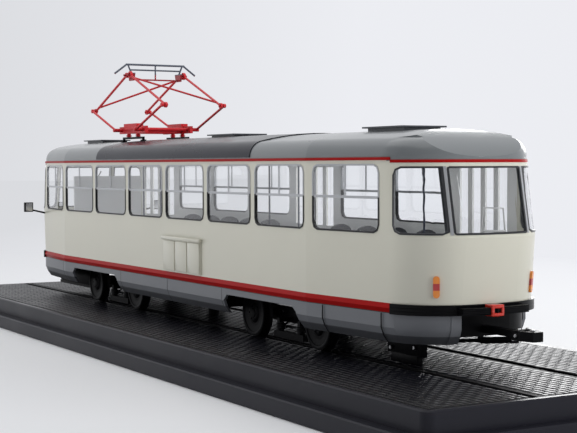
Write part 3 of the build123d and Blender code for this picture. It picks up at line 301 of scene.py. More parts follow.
LINING = (0.86, 0.86, 0.85)
CREAM = (0.660, 0.645, 0.548)
ROOF = (0.172, 0.185, 0.192)
SKIRT = (0.165, 0.172, 0.188)
# painted shade: the skirt grey darkened on the lower band, where the skirt turns in and down
SKIRT_LOW_SHADE = (0.070, 0.073, 0.081)
BLACK = (0.0035, 0.0035, 0.0042)
BRIGHT = (0.44, 0.45, 0.47)
SEAL = (0.006, 0.006, 0.007)
CLEAR = (0.965, 0.972, 0.98)
AMBER = (0.86, 0.26, 0.02)
LAMP_RED = (0.48, 0.02, 0.02)
RED = (0.34, 0.006, 0.006)
HEAD_RED = (0.34, 0.020, 0.026)
HEAD_GREY = (0.10, 0.115, 0.150)
MATERIALS = {
    "plinth": finish("plinth_black", (0.016, 0.016, 0.022), 0.34, grain=0.2, grain_scale=1800.0,
                     specular=0.14),
    "paving": finish("paving_dark", (0.003, 0.003, 0.004), 0.60, grain=0.5, grain_scale=1500.0,
                     specular=0.12),
    "stone": finish("paving_stone", (0.006, 0.006, 0.009), 0.33, vary=0.2, grain=0.4, grain_scale=2400.0,
                    specular=0.12),
    "steel": finish("bright_steel", (0.62, 0.62, 0.63), 0.3, metallic=1.0),
    "cream": finish("cream_paint", CREAM, 0.36, vary=0.02, grain=0.06, coat=0.35, specular=0.35,
                    lining="side"),
    "cream_end": finish("cream_end_paint", CREAM, 0.36, vary=0.02, grain=0.06, coat=0.35, specular=0.35,
                        bands=[(SILL_Z, CREAM), (END_LINE_Z, ROOF)]),
    "roof_grey": finish("roof_paint", ROOF, 0.30, vary=0.03, grain=0.1, coat=0.3, specular=0.45,
                        lining="down"),
    "deck": finish("deck_paint", BLACK, 0.45, vary=0.1, grain=0.3, specular=0.1, lining="up"),
    "mat": finish("roof_mat", (0.016, 0.017, 0.026), 0.26, vary=0.05, grain=0.12, grain_scale=3200.0,
                  specular=0.22),
    "lid": finish("lid_grey", (0.060, 0.066, 0.078), 0.36, vary=0.05, grain=0.15),
    "red": finish("red_paint", RED, 0.36, vary=0.05, grain=0.08, specular=0.08),
    # skirt grey with painted shade: darker below 10.9 mm where it turns down, and a black band along its top
    # as a painted shadow under the sill moulding
    "skirt_grey": finish("skirt_paint_with_painted_shade", SKIRT, 0.38, vary=0.04, grain=0.1, coat=0.05, specular=0.35,
                         bands=[(8.0, SKIRT_LOW_SHADE), (10.9, SKIRT), (SILL_Z - 0.22, BLACK)]),
    "black": finish("underframe_black", BLACK, 0.42, vary=0.15, grain=0.3, specular=0.10),
    "belt": finish("belt_black", BLACK, 0.34, vary=0.1, grain=0.45, specular=0.12, ribs=1.05 * MM),
    "wheel": finish("wheel_dark", (0.004, 0.004, 0.005), 0.40, vary=0.15, grain=0.25, specular=0.08),
    "gear": finish("gear_dark", (0.022, 0.022, 0.024), 0.38, vary=0.2, grain=0.2, metallic=0.5),
    "end_seal": finish("end_seal", (0.035, 0.036, 0.040), 0.34, grain=0.15, specular=0.45),
    "rubber": finish("seal_rubber", (0.010, 0.010, 0.012), 0.42, grain=0.2, specular=0.3),
    "gasket": finish("window_seal", BRIGHT, 0.38, grain=0.12, specular=0.4,
                     bands=[(39.0, SEAL), (BAR_Z, BRIGHT)]),
    "silver": finish("window_bright", (0.46, 0.47, 0.49), 0.34, metallic=0.4),
    "glass": glazing("window_glass", CLEAR),
    "end_glass": glazing("end_glass", CLEAR, 0.006, 1.12),
    "lamp": glazing("lamp_glass", (0.95, 0.95, 0.93), 0.03, 1.42),
    "amber": finish("lamp_amber", AMBER, 0.16, vary=0.06, grain=0.2, grain_scale=1500.0, coat=0.2,
                    bands=[(21.0, AMBER), (24.5, LAMP_RED), (26.5, AMBER)]),
    "inside": finish("inner_grey", (0.72, 0.72, 0.71), 0.5, grain=0.15),
    "seat": finish("seat_dark", (0.050, 0.052, 0.060), 0.36, vary=0.1, grain=0.3),
    "pole": finish("pole_blue", (0.020, 0.028, 0.055), 0.3, vary=0.1, grain=0.1),
    "white": finish("inner_white", (0.74, 0.74, 0.74), 0.4, vary=0.03, grain=0.1),
    "panto_red": finish("pantograph_red", (0.62, 0.020, 0.028), 0.38, vary=0.06, grain=0.1, specular=0.35),
    "tow_red": finish("tow_red", (0.62, 0.035, 0.020), 0.3, vary=0.08, grain=0.15, coat=0.3),
    "head_grey": finish("collector_grey", HEAD_GREY, 0.4, vary=0.08, grain=0.15,
                        bands=[(97.0, HEAD_RED), (100.6, HEAD_GREY)]),
}
NODE_MATERIAL = {
    # nodes whose finish differs from their slot's
    "body_end_front": "cream_end",
    "body_end_rear": "cream_end",
    "bumper_belts": "belt",
    "side_gaskets": "gasket",
    "end_gaskets": "end_seal",
    "end_glass": "end_glass",
    "hold_down_screws": "black",
    "floor_plate": "deck",
    "grab_poles": "pole",
    "roof_vents": "lid",
    "panto_base": "panto_red",
    "panto_pegs": "panto_red",
    "panto_lower_front": "panto_red",
    "panto_lower_rear": "panto_red",
    "panto_upper_front": "panto_red",
    "panto_upper_rear": "panto_red",
    "cab_fittings": "inside",
    "wheelset_front_lead": "wheel",
    "wheelset_front_trail": "wheel",
    "wheelset_rear_lead": "wheel",
    "wheelset_rear_trail": "wheel",
}


def dress_nodes():
    """Gives every CAD node its material."""
    slots = {row["node"]: row["material_slot"] for row in frame["record"]["subparts"]}
    for name, node in NODES.items():
        key = NODE_MATERIAL.get(name, slots[name])
        node.data.materials.clear()
        node.data.materials.append(MATERIALS[key])


# Mesh building, in millimetres with heights from the paving
SHARP_ANGLE = math.radians(38)


def at(x, y, z):
    return Vector((x * MM, y * MM, PAVING + z * MM))


def block(mesh, low, high, bevel=0.2):
    """Box with rounded edges between two corners."""
    a = at(*low)
    b = at(*high)
    size = b - a
    turn = Matrix.Translation((a + b) / 2) @ Matrix.Diagonal((*size, 1.0))
    made = bmesh.ops.create_cube(mesh, size=1.0, matrix=turn)
    edges = dict.fromkeys(e for v in made["verts"] for e in v.link_edges)
    bmesh.ops.bevel(mesh, geom=list(edges), offset=bevel * MM, segments=2, profile=0.5, affect="EDGES")


def rings(mesh, rows, closed=False):
    """Skin over rows of points; closed joins the last row to the first, else the ends are capped."""
    loops = [[mesh.verts.new(p) for p in row] for row in rows]
    count = len(loops[0])
    pairs = list(zip(loops, loops[1:] + loops[:1] if closed else loops[1:]))
    for a, b in pairs:
        for k in range(count):
            n = (k + 1) % count
            mesh.faces.new((a[k], a[n], b[n], b[k]))
    if not closed:
        mesh.faces.new(list(reversed(loops[0])))
        mesh.faces.new(loops[-1])


def circle(middle, radius, first, other, sides):
    """Points round a middle, in the plane of two directions."""
    turns = [math.tau * n / sides for n in range(sides)]
    return [middle + radius * MM * (math.cos(t) * first + math.sin(t) * other) for t in turns]


def tube(mesh, points, radius, sides=10):
    """Round bar along points, with capped ends."""
    rows = []
    last = len(points) - 1
    side = None
    for k, p in enumerate(points):
        before = points[max(k - 1, 0)]
        after = points[min(k + 1, last)]
        way = (after - before).normalized()
        side = (side - way * side.dot(way)).normalized() if rows else way.orthogonal().normalized()
        rows.append(circle(p, radius, side, way.cross(side), sides))
    rings(mesh, rows)


def lathe(mesh, centre, axis, profile, sides=32, ring=False):
    """Turned piece: rows of distance along its axis and radius; a ring is open in the middle."""
    axis = Vector(axis).normalized()
    first = axis.orthogonal().normalized()
    other = axis.cross(first)
    rows = []
    for distance, radius in profile:
        rows.append(circle(centre + axis * distance * MM, radius, first, other, sides))
    rings(mesh, rows, ring)


def put(name, data):
    """New object in the scene."""
    made = bpy.data.objects.new(name, data)
    bpy.context.scene.collection.objects.link(made)
    return made


def add_piece(name, mesh, body, material):
    """Turns a bmesh into a piece that rides on a body."""
    bmesh.ops.recalc_face_normals(mesh, faces=mesh.faces)
    data = bpy.data.meshes.new(name)
    mesh.to_mesh(data)
    mesh.free()
    data.shade_smooth()
    data.set_sharp_from_angle(angle=SHARP_ANGLE)
    data.materials.append(MATERIALS[material])
    piece = put(name, data)
    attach(piece, body)
    return piece


# Paving stones: length, width, joint, height above the insert and bevel
STONE_L = 4.6 * MM
STONE_W = 2.3 * MM
STONE_JOINT = 0.35 * MM
STONE_UP = 0.16 * MM
STONE_BEVEL = 0.22 * MM
STONE_UP_SHARES = (0.7, 1.0)
STONE_SEED = 7
GROOVE_IN = 1.9 * MM
GROOVE_W = 2.6 * MM


def stone(mesh, x0, x1, y0, y1, foot, head):
    """One stone with sloped edges, open below."""
    b = STONE_BEVEL
    low = [(x0, y0, foot), (x1, y0, foot), (x1, y1, foot), (x0, y1, foot)]
    high = [(x0 + b, y0 + b, head), (x1 - b, y0 + b, head), (x1 - b, y1 - b, head), (x0 + b, y1 - b, head)]
    f = [mesh.verts.new(p) for p in low]
    h = [mesh.verts.new(p) for p in high]
    mesh.faces.new(h)
    for k in range(4):
        n = (k + 1) % 4
        mesh.faces.new((f[k], f[n], h[n], h[k]))


def stones():
    """Running bond of small bevelled stones over the paving, left out along the rail grooves."""
    low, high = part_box("paving_insert")
    groove_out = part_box("wheelset_front_lead")[1].y - GROOVE_IN
    groove_in = groove_out - GROOVE_W
    grooves = ((groove_in, groove_out), (-groove_out, -groove_in))
    rng = random.Random(STONE_SEED)
    mesh = bmesh.new()
    row = 0
    y = low.y + STONE_JOINT
    while y + STONE_W < high.y:
        y1 = y + STONE_W - STONE_JOINT
        if not any(y < g1 and y1 > g0 for g0, g1 in grooves):
            x = low.x + STONE_JOINT - (STONE_L / 2 if row % 2 else 0.0)
            while x < high.x - STONE_JOINT:
                x0 = max(x, low.x + STONE_JOINT)
                x1 = min(x + STONE_L - STONE_JOINT, high.x - STONE_JOINT)
                if x1 - x0 > 3 * STONE_BEVEL:
                    head = high.z + STONE_UP * rng.uniform(*STONE_UP_SHARES)
                    stone(mesh, x0, x1, y, y1, high.z, head)
                x += STONE_L
        y += STONE_W
        row += 1
    add_piece("paving_stones", mesh, "tram", "stone")


# Wheels and bogies
WHEEL_FACE = [
    # distance out from the tyre's face, radius: tyre, step, web, hub and cap
    (-0.6, 7.9),
    (0.12, 7.9),
    (0.16, 7.6),
    (0.16, 7.0),
    (0.02, 6.8),
    (-0.38, 6.5),
    (-0.38, 3.6),
    (-0.1, 3.3),
    (0.12, 3.0),
    (0.12, 1.9),
    (0.42, 1.7),
    (0.5, 1.1),
    (0.5, 0.02),
]
HUB_BOLTS = 6
HUB_BOLTS_R = 2.45
HUB_BOLT = [(0.1, 0.34), (0.34, 0.34), (0.4, 0.24)]


def wheel_faces():
    """Tyre, web, hub cap and bolts on the outside of each wheel."""
    for end in ("front", "rear"):
        for place in ("lead", "trail"):
            low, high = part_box(f"wheelset_{end}_{place}")
            centre = (low + high) / 2
            mesh = bmesh.new()
            for sy in (1, -1):
                face = Vector((centre.x, sy * high.y, centre.z))
                lathe(mesh, face, (0, sy, 0), WHEEL_FACE, 40)
                for k in range(HUB_BOLTS):
                    t = math.tau * k / HUB_BOLTS
                    spot = face + HUB_BOLTS_R * MM * Vector((math.cos(t), 0, math.sin(t)))
                    lathe(mesh, spot, (0, sy, 0), HUB_BOLT, 6)
            add_piece(f"wheel_faces_{end}_{place}", mesh, f"wheels_{end}_{place}", "wheel")


SPRING_TURNS = 4.5
SPRING_STEPS = 14
SPRING_DX = (-7.0, 7.0)
SPRING_IN = 0.95
SPRING_Z = (3.9, 6.4)
SPRING_R = 1.55
SPRING_WIRE = 0.22
ROD_DX = (-9.4, 9.4)
ROD_Y = 14.6
ROD_Z = 4.9
ROD_R = 0.4
HANGER_Y = 12.6
HANGER_Z = 6.2
HANGER_R = 0.35
BEAM_BOLT_DX = (-16.0, -12.5, 12.5, 16.0)
BEAM_BOLT_Y = 12.7
BEAM_BOLT_Z = 9.6
BEAM_BOLT = [(-0.2, 0.5), (0.35, 0.5), (0.45, 0.36)]


def coil(mesh, x, y):
    """Coil spring on a vertical axis."""
    z0, z1 = SPRING_Z
    points = []
    steps = int(SPRING_TURNS * SPRING_STEPS)
    for k in range(steps + 1):
        t = math.tau * k / SPRING_STEPS
        points.append(at(x + SPRING_R * math.cos(t), y + SPRING_R * math.sin(t), z0 + (z1 - z0) * k / steps))
    tube(mesh, points, SPRING_WIRE, 6)


def bogie_gear():
    """Coil springs over the rail brakes, a tie rod along each side and bolt heads on the beams."""
    for end in ("front", "rear"):
        low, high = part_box(f"rail_brakes_{end}")
        x = (low.x + high.x) / 2 / MM
        y = high.y / MM - SPRING_IN
        mesh = bmesh.new()
        for sy in (1, -1):
            for dx in SPRING_DX:
                coil(mesh, x + dx, sy * y)
            rod_ends = [at(x + dx, sy * ROD_Y, ROD_Z) for dx in ROD_DX]
            tube(mesh, rod_ends, ROD_R, 8)
            for dx, rod_end in zip(ROD_DX, rod_ends):
                tube(mesh, [at(x + dx, sy * HANGER_Y, HANGER_Z), rod_end], HANGER_R, 8)
            for dx in BEAM_BOLT_DX:
                lathe(mesh, at(x + dx, sy * BEAM_BOLT_Y, BEAM_BOLT_Z), (0, sy, 0), BEAM_BOLT, 6)
        add_piece(f"bogie_gear_{end}", mesh, f"bogie_{end}", "gear")


REAR_GUARD_X = (-146.0, -128.0)
REAR_GUARD_Y = (11.2, 13.6)
REAR_GUARD_Z = (0.6, 3.2)
REAR_GUARD_LAP = 0.4
REAR_GUARD_STEP = 2.0
REAR_GUARD_BEVEL = 0.3
REAR_GUARD_BOLTS = [
    # x, height
    (-143.2, 6.0),
    (-130.6, 4.8),
]
GUARD_BOLT = [(-0.3, 0.75), (0.6, 0.75), (0.8, 0.5)]


def rear_guard():
    """Dark bracket under the rear left corner with two bright bolts."""
    x0, x1 = REAR_GUARD_X
    y0, y1 = REAR_GUARD_Y
    foot, plate = REAR_GUARD_Z
    step = REAR_GUARD_STEP
    mesh = bmesh.new()
    bolts = bmesh.new()
    block(mesh, (x0, y0, plate), (x1, y1, FLOOR_Z), REAR_GUARD_BEVEL)
    block(mesh, (x0 + step, y0, foot), (x1 - step, y1, plate + REAR_GUARD_LAP), REAR_GUARD_BEVEL)
    for x, z in REAR_GUARD_BOLTS:
        lathe(bolts, at(x, y1, z), (0, 1, 0), GUARD_BOLT, 6)
    add_piece("rear_guard", mesh, "tram", "black")
    add_piece("rear_guard_bolts", bolts, "tram", "steel")


LIFEGUARD_X = (107.4, 149.6)
LIFEGUARD_Y = (15.6, 16.9)
LIFEGUARD_Z = (5.7, 18.9)


def lifeguard_sides():
    """Side plates between the straps of the lifeguard tray."""
    mesh = bmesh.new()
    for sy in (1, -1):
        y0, y1 = sorted((sy * LIFEGUARD_Y[0], sy * LIFEGUARD_Y[1]))
        block(mesh, (LIFEGUARD_X[0], y0, LIFEGUARD_Z[0]), (LIFEGUARD_X[1], y1, LIFEGUARD_Z[1]))
    add_piece("lifeguard_sides", mesh, "tram", "black")


# Ends
TOW_Y = (-1.5, 2.9)
TOW_Z = (16.8, 20.2)
TOW_IN = 3.4
TOW_OUT = 0.5
TOW_TOP_T = 1.1
TOW_LOW_T = 1.0
TOW_CHEEK_T = 0.9
TOW_CHEEK_LAP = 0.6
TOW_BEVEL = 0.25
THROAT_IN = (0.6, 1.6)
THROAT_EDGE = 0.5
THROAT_BEVEL = 0.1
PIN_IN = 0.1
PIN_UP = 0.4


def tow_sockets():
    """Red jaw in the middle of each bumper with a dark throat and pin."""
    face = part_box("bumper_belts")[1].x / MM
    z0, z1 = TOW_Z
    edge = THROAT_EDGE
    pin_profile = [(0, 0.5), (z1 - z0 - 0.6, 0.5), (z1 - z0 - 0.4, 0.35)]
    red = bmesh.new()
    dark = bmesh.new()
    for sx in (1, -1):
        y0, y1 = sorted((-sx * TOW_Y[0], -sx * TOW_Y[1]))
        x0, x1 = sorted((sx * (face - TOW_IN), sx * (face + TOW_OUT)))
        block(red, (x0, y0, z1 - TOW_TOP_T), (x1, y1, z1), TOW_BEVEL)
        block(red, (x0, y0, z0), (x1, y1, z0 + TOW_LOW_T), TOW_BEVEL)
        for low, high in ((y0, y0 + TOW_CHEEK_T), (y1 - TOW_CHEEK_T, y1)):
            block(red, (x0, low, z0 + TOW_CHEEK_LAP), (x1, high, z1 - TOW_CHEEK_LAP))
        back, front = sorted((sx * (face - THROAT_IN[0]), sx * (face - THROAT_IN[1])))
        block(dark, (back, y0 + edge, z0 + edge), (front, y1 - edge, z1 - edge), THROAT_BEVEL)
        pin = at(sx * (face - PIN_IN), (y0 + y1) / 2, z0 + PIN_UP)
        lathe(dark, pin, (0, 0, 1), pin_profile, 12)
    add_piece("tow_sockets", red, "tram", "tow_red")
    add_piece("tow_throats", dark, "tram", "black")


COUPLER_TOP_BOLTS = [
    # distance in from the tip, y
    (6.4, -1.6),
    (6.4, 1.6),
    (2.4, 0.0),
]
COUPLER_TOP_Z = 13.85
COUPLER_SIDE_IN = 6.0
COUPLER_SIDE_Y = 2.95
COUPLER_SIDE_Z = 12.5
COUPLER_BOLT = [(-0.1, 0.62), (0.45, 0.62), (0.6, 0.4)]
DRAWBAR_END = (158.0, 12.0, 8.3)
DRAWBAR_WAY = (4.2, 9.5)
DRAWBAR_CAP = [(-1.2, 1.2), (0.35, 1.2), (0.5, 0.9)]


def coupler_bolts():
    """Bright bolt heads on both coupler heads and a steel end on the folded drawbar."""
    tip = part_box("couplers")[1].x / MM
    mesh = bmesh.new()
    for sx in (1, -1):
        for dx, y in COUPLER_TOP_BOLTS:
            lathe(mesh, at(sx * (tip - dx), y, COUPLER_TOP_Z), (0, 0, 1), COUPLER_BOLT, 6)
        for sy in (1, -1):
            head = at(sx * (tip - COUPLER_SIDE_IN), sy * COUPLER_SIDE_Y, COUPLER_SIDE_Z)
            lathe(mesh, head, (0, sy, 0), COUPLER_BOLT, 6)
        x, y, z = DRAWBAR_END
        way = (DRAWBAR_WAY[0] * sx, DRAWBAR_WAY[1] * sx, 0)
        lathe(mesh, at(sx * x, sx * y, z), way, DRAWBAR_CAP, 16)
    add_piece("coupler_bolts", mesh, "tram", "steel")


HEADLAMP_RIM = [
    # distance out, radius beyond the lens
    (0.0, 0.05),
    (1.3, 0.35),
    (1.75, 0.1),
    (1.75, -0.4),
    (0.0, -0.6),
]
HEADLAMP_TURN = 0.30
HEADLAMP_BACK = 1.55


def headlamp_rims():
    """Bright ring round each headlamp."""
    low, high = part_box("headlamps")
    mesh = bmesh.new()
    radius = (high.z - low.z) / 2 / MM
    z = ((low.z + high.z) / 2 - PAVING) / MM
    rim = [(distance, radius + more) for distance, more in HEADLAMP_RIM]
    for sy in (1, -1):
        out = Vector((math.cos(HEADLAMP_TURN), sy * math.sin(HEADLAMP_TURN), 0))
        centre = at(high.x / MM, sy * (high.y / MM - radius), z) - out * HEADLAMP_BACK * MM
        lathe(mesh, centre, out, rim, 36, ring=True)
    add_piece("headlamp_rims", mesh, "tram", "silver")


MIRROR_IN = (3.6, 0.4)
MIRROR_DOWN = (4.1, 0.4)
MIRROR_PROUD = 0.12
MIRROR_SUNK = 0.2
MIRROR_BEVEL = 0.1


def mirror_glasses():
    """Mirror plate on the back of each mirror head."""
    low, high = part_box("mirrors")
    mesh = bmesh.new()
    back = low.x / MM
    top = (high.z - PAVING) / MM
    side = high.y / MM
    for sy in (1, -1):
        y0, y1 = sorted((sy * (side - MIRROR_IN[0]), sy * (side - MIRROR_IN[1])))
        near = (back - MIRROR_PROUD, y0, top - MIRROR_DOWN[0])
        block(mesh, near, (back + MIRROR_SUNK, y1, top - MIRROR_DOWN[1]), MIRROR_BEVEL)
    add_piece("mirror_glasses", mesh, "tram", "steel")


WIPER = [
    # y, height, distance in from the front face
    (-2.0, 39.0, -0.9),
    (-5.5, 46.0, 0.1),
    (-9.0, 55.0, 1.2),
]
WIPER_R = 0.25
BLADE_R = 0.3
BLADE_FROM = Vector((-0.0002, 0.002, 0))
BLADE_TO = Vector((0, -0.001, 0.003))
WIPER_BOSS = [(-1.2, 0.7), (0.3, 0.7), (0.5, 0.4)]


def wiper():
    """Arm and blade on the front pane."""
    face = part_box("body_end_front")[1].x / MM
    mesh = bmesh.new()
    points = [at(face - x, y, z) for y, z, x in WIPER]
    tube(mesh, points, WIPER_R, 8)
    tube(mesh, [points[1] + BLADE_FROM, points[2] + BLADE_TO], BLADE_R, 6)
    lathe(mesh, points[0], (1, 0, 0), WIPER_BOSS, 16)
    add_piece("front_wiper", mesh, "tram", "rubber")


# Sides
SEAM_X = (-142.7, -114.2, -46.0, 0.0, 46.0, 114.2)
SEAM_PROFILE = [
    # height, distance in from the body's side
    (8.6, 2.28),
    (10.6, 0.9),
    (13.0, 0.0),
    (17.2, 0.0),
]
SEAM_HALF = 0.11
SEAM_PROUD = 0.03
SEAM_DEPTH = 0.3
RIGHT_SKIRT_END = -140.0


def side_y(x):
    """Half width of the body at a station."""
    return HALF_W - max(0.0, abs(x) - KINK) * TAPER


def skirt_seams():
    """Thin dark joints between the skirt panels."""
    mesh = bmesh.new()
    for sy in (1, -1):
        for x in SEAM_X:
            if sy < 0 and x < RIGHT_SKIRT_END:
                continue
            rows = []
            for z, inset in SEAM_PROFILE:
                y = side_y(x) - inset
                outer = sy * (y + SEAM_PROUD)
                inner = sy * (y - SEAM_DEPTH)
                rows.append([
                    at(x - SEAM_HALF, outer, z),
                    at(x + SEAM_HALF, outer, z),
                    at(x + SEAM_HALF, inner, z),
                    at(x - SEAM_HALF, inner, z),
                ])
            rings(mesh, rows)
    add_piece("skirt_seams", mesh, "tram", "rubber")


LOUVRE_X = (-30.0, 1.8)
LOUVRE_Z = (20.9, 32.2)
LOUVRE_FIELDS = 3
LOUVRE_GAP = 0.35
LOUVRE_SKIN = 0.55
LOUVRE_SUNK = 0.2
FIELD_PROUD = 0.55
FIELD_BEVEL = 0.32
HOOD_PAST = 0.8
HOOD_UP = (0.3, 1.7)
HOOD_PROUD = 1.1
HOOD_BEVEL = 0.45


def louvre_fields():
    """Rounded fields and hood of the louvre cover."""
    mesh = bmesh.new()
    x0, x1 = LOUVRE_X
    z0, z1 = LOUVRE_Z
    width = (x1 - x0) / LOUVRE_FIELDS
    face = HALF_W + LOUVRE_SKIN
    sunk = face - LOUVRE_SUNK
    for k in range(LOUVRE_FIELDS):
        low = x0 + k * width + LOUVRE_GAP
        block(mesh, (low, sunk, z0), (low + width - 2 * LOUVRE_GAP, face + FIELD_PROUD, z1), FIELD_BEVEL)
    hood_low = (x0 - HOOD_PAST, sunk, z1 + HOOD_UP[0])
    hood_high = (x1 + HOOD_PAST, face + HOOD_PROUD, z1 + HOOD_UP[1])
    block(mesh, hood_low, hood_high, HOOD_BEVEL)
    add_piece("louvre_fields", mesh, "tram", "cream")


# Skirt round the left corners
SKIRT_X = 148.2
SKIRT_END_Y = 13.2
SKIRT_T = 1.0
SKIRT_SECTION = [
    # height, distance in from the body's plan
    (8.45, 2.4),
    (10.6, 0.9),
    (13.0, 0.0),
    (17.1, 0.0),
]
CORNER_STEPS = 12
END_STEPS = 4


def corner_path(inset, kink):
    """Plan points of one corner: taper, corner arc and end arc, drawn in by inset."""
    s = math.sin(TAPER_TURN)
    c = math.cos(TAPER_TURN)
    corner = CORNER_R - inset
    end = END_R - inset
    ex = HALF_L - END_R
    bx = kink - math.tan(TAPER_TURN / 2) * inset - corner * s
    by = HALF_W - inset - corner * c
    lin = (bx - ex) * c - by * s
    rest = (bx - ex) ** 2 + by ** 2 - (end - corner) ** 2
    t = -lin + math.sqrt(lin * lin - rest)
    cx = bx + t * c
    cy = by - t * s
    out = math.atan2(cy, cx - ex)
    start = math.pi / 2 - TAPER_TURN
    stop = math.asin(SKIRT_END_Y / end)
    points = []
    for k in range(CORNER_STEPS + 1):
        a = start + (out - start) * k / CORNER_STEPS
        points.append((cx + corner * math.cos(a), cy + corner * math.sin(a)))
    for k in range(1, END_STEPS + 1):
        a = out + (stop - out) * k / END_STEPS
        points.append((ex + end * math.cos(a), end * math.sin(a)))
    x, y = points[0]
    if x > SKIRT_X:
        points.insert(0, (SKIRT_X, y + (x - SKIRT_X) * TAPER))
    return points


def skirt_corners():
    """Turned-in skirt round both left corners, where the source's skirt stops at the bumper."""
    mesh = bmesh.new()
    loop = SKIRT_SECTION + [(z, inset + SKIRT_T) for z, inset in reversed(SKIRT_SECTION)]
    for sx, kink in ((1, KINK), (-1, KINK_REAR)):
        paths = [(z, corner_path(inset, kink)) for z, inset in loop]
        rows = []
        for k in range(len(paths[0][1])):
            rows.append([at(sx * path[k][0], path[k][1], z) for z, path in paths])
        rings(mesh, rows)
    add_piece("skirt_corners", mesh, "tram", "skirt_grey")


# Inside
SEAT_TOP_Z = 38.8
SEAT_W = 9.6
SEAT_PAD_Z = 31.0
SEAT_PAD_X = (-4.6, 5.0)
SEAT_PAD_UP = (-1.6, 0.3)
SEAT_PAD_BEVEL = 0.7
SEAT_LEG_HALF = 1.0
SEAT_LEG_DOWN = 1.2
SEAT_LEG_BEVEL = 0.3
SEAT_BACK_X = -4.0
SEAT_BACK_LEAN = 0.9
SEAT_BACK_HALF = 0.7
SEAT_BACK_DOWN = 1.0
SEAT_BACK_SHARES = (0.0, 0.35, 0.6, 0.78, 0.9, 0.97, 1.0)
SEAT_DOME_FROM = 0.55
SEAT_DOME_POWER = 2.4
SEAT_DOME_LEAST = 0.02
SEAT_FIRST_X = 92.5
SEAT_PITCH = 36.0
SEAT_BAYS = 6
SEAT_DX = (-9.0, 9.0)
SEAT_IN = 9.0
DOOR_BAY = 3


def seat_shell(mesh, x, y):
    """One moulded seat: leg, pad with a rolled front and a domed back."""
    half = SEAT_W / 2
    leg = SEAT_LEG_HALF
    block(mesh, (x - leg, y - leg, DECK_Z), (x + leg, y + leg, SEAT_PAD_Z - SEAT_LEG_DOWN), SEAT_LEG_BEVEL)
    pad_low = (x + SEAT_PAD_X[0], y - half, SEAT_PAD_Z + SEAT_PAD_UP[0])
    pad_high = (x + SEAT_PAD_X[1], y + half, SEAT_PAD_Z + SEAT_PAD_UP[1])
    block(mesh, pad_low, pad_high, SEAT_PAD_BEVEL)
    foot = SEAT_PAD_Z - SEAT_BACK_DOWN
    rows = []
    for share in SEAT_BACK_SHARES:
        z = foot + (SEAT_TOP_Z - foot) * share
        dome = max(0.0, (share - SEAT_DOME_FROM) / (1.0 - SEAT_DOME_FROM)) ** SEAT_DOME_POWER
        w = half * math.sqrt(max(SEAT_DOME_LEAST, 1 - dome))
        back = x + SEAT_BACK_X - SEAT_BACK_LEAN * share
        rows.append([
            at(back - SEAT_BACK_HALF, y - w, z),
            at(back + SEAT_BACK_HALF, y - w, z),
            at(back + SEAT_BACK_HALF, y + w, z),
            at(back - SEAT_BACK_HALF, y + w, z),
        ])
    rings(mesh, rows)


def seats():
    """Moulded seats in place of the plain ones, at their stations."""
    mesh = bmesh.new()
    for k in range(SEAT_BAYS):
        for dx in SEAT_DX:
            x = SEAT_FIRST_X - k * SEAT_PITCH + dx
            if x > SEAT_FIRST_X:
                continue
            seat_shell(mesh, x, HALF_W - SEAT_IN)
            if k != DOOR_BAY:
                seat_shell(mesh, x, SEAT_IN - HALF_W)
    piece = add_piece("seat_shells", mesh, "tram", "seat")
    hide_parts("seats")


POLE_R = 0.36
POLES = [
    # x, y
    (-108.7, -14.0),
    (-27.0, -14.0),
    (-4.0, -14.0),
    (60.0, 12.0),
    (100.0, -14.0),
]


def slim_poles():
    """Poles from deck to ceiling, slimmer than the source's and without the one behind the corner pane."""
    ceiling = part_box("grab_poles")[1].z
    mesh = bmesh.new()
    for x, y in POLES:
        foot = at(x, y, DECK_Z)
        tube(mesh, [foot, Vector((foot.x, foot.y, ceiling))], POLE_R, 12)
    piece = add_piece("slim_poles", mesh, "tram", "pole")
    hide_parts("grab_poles")


RAIL_FRAME = [
    # y and height of the white rail behind the rear pane
    (-5.6, 40.7),
    (-6.3, 47.6),
    (-13.9, 47.4),
    (-14.7, 40.4),
]
RAIL_FRAME_X = -150.0
RAIL_R = 0.28


def inner_rails():
    """White rail frame behind the rear pane, on two feet."""
    mesh = bmesh.new()
    points = [at(RAIL_FRAME_X, y, z) for y, z in RAIL_FRAME]
    feet = [at(RAIL_FRAME_X, RAIL_FRAME[k][0], DECK_Z) for k in (0, -1)]
    tube(mesh, [feet[0], *points, feet[1]], RAIL_R, 8)
    tube(mesh, [points[0], points[-1]], RAIL_R, 8)
    add_piece("rear_rail", mesh, "tram", "white")


# Pantograph
PEG_R = 0.9
SHED_Z = (73.35, 73.85)
SHED = [(0, 0.8), (0.12, 1.3), (0.24, 1.3), (0.36, 0.8)]


def panto_trim():
    """Insulator sheds on the pegs."""
    low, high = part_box("panto_pegs")
    mesh = bmesh.new()
    for x in (low.x / MM + PEG_R, high.x / MM - PEG_R):
        for y in (low.y / MM + PEG_R, high.y / MM - PEG_R):
            for z in SHED_Z:
                lathe(mesh, at(x, y, z), (0, 0, 1), SHED, 20)
    add_piece("panto_trim", mesh, "tram", "panto_red")


HEAD_X = 74.4
HEAD_BARS = [
    # y and height of both ends, radius
    (-13.9, 104.7, 13.9, 104.7, 0.45),
    (-12.1, 102.4, 12.1, 102.4, 0.35),
    (-11.2, 98.2, 11.2, 98.2, 0.35),
    (0.0, 98.2, 0.0, 104.7, 0.35),
    (-11.2, 100.4, -13.0, 104.7, 0.38),
    (11.2, 100.4, 13.0, 104.7, 0.38),
    (-13.6, 104.7, -19.2, 100.6, 0.42),
    (13.6, 104.7, 19.2, 100.6, 0.42),
]
HEAD_CHEEK = [
    # distance from the head's middle, height
    (-2.1, 97.7),
    (2.1, 97.7),
    (3.0, 101.0),
    (-3.0, 101.0),
]
HEAD_CHEEK_Y = 11.2
HEAD_CHEEK_HALF = 0.45
HEAD_PIN_X = 2.0
HEAD_PIN_Z = 100.1
HEAD_PIN_END = 14.2
HEAD_PIN_R = 0.45


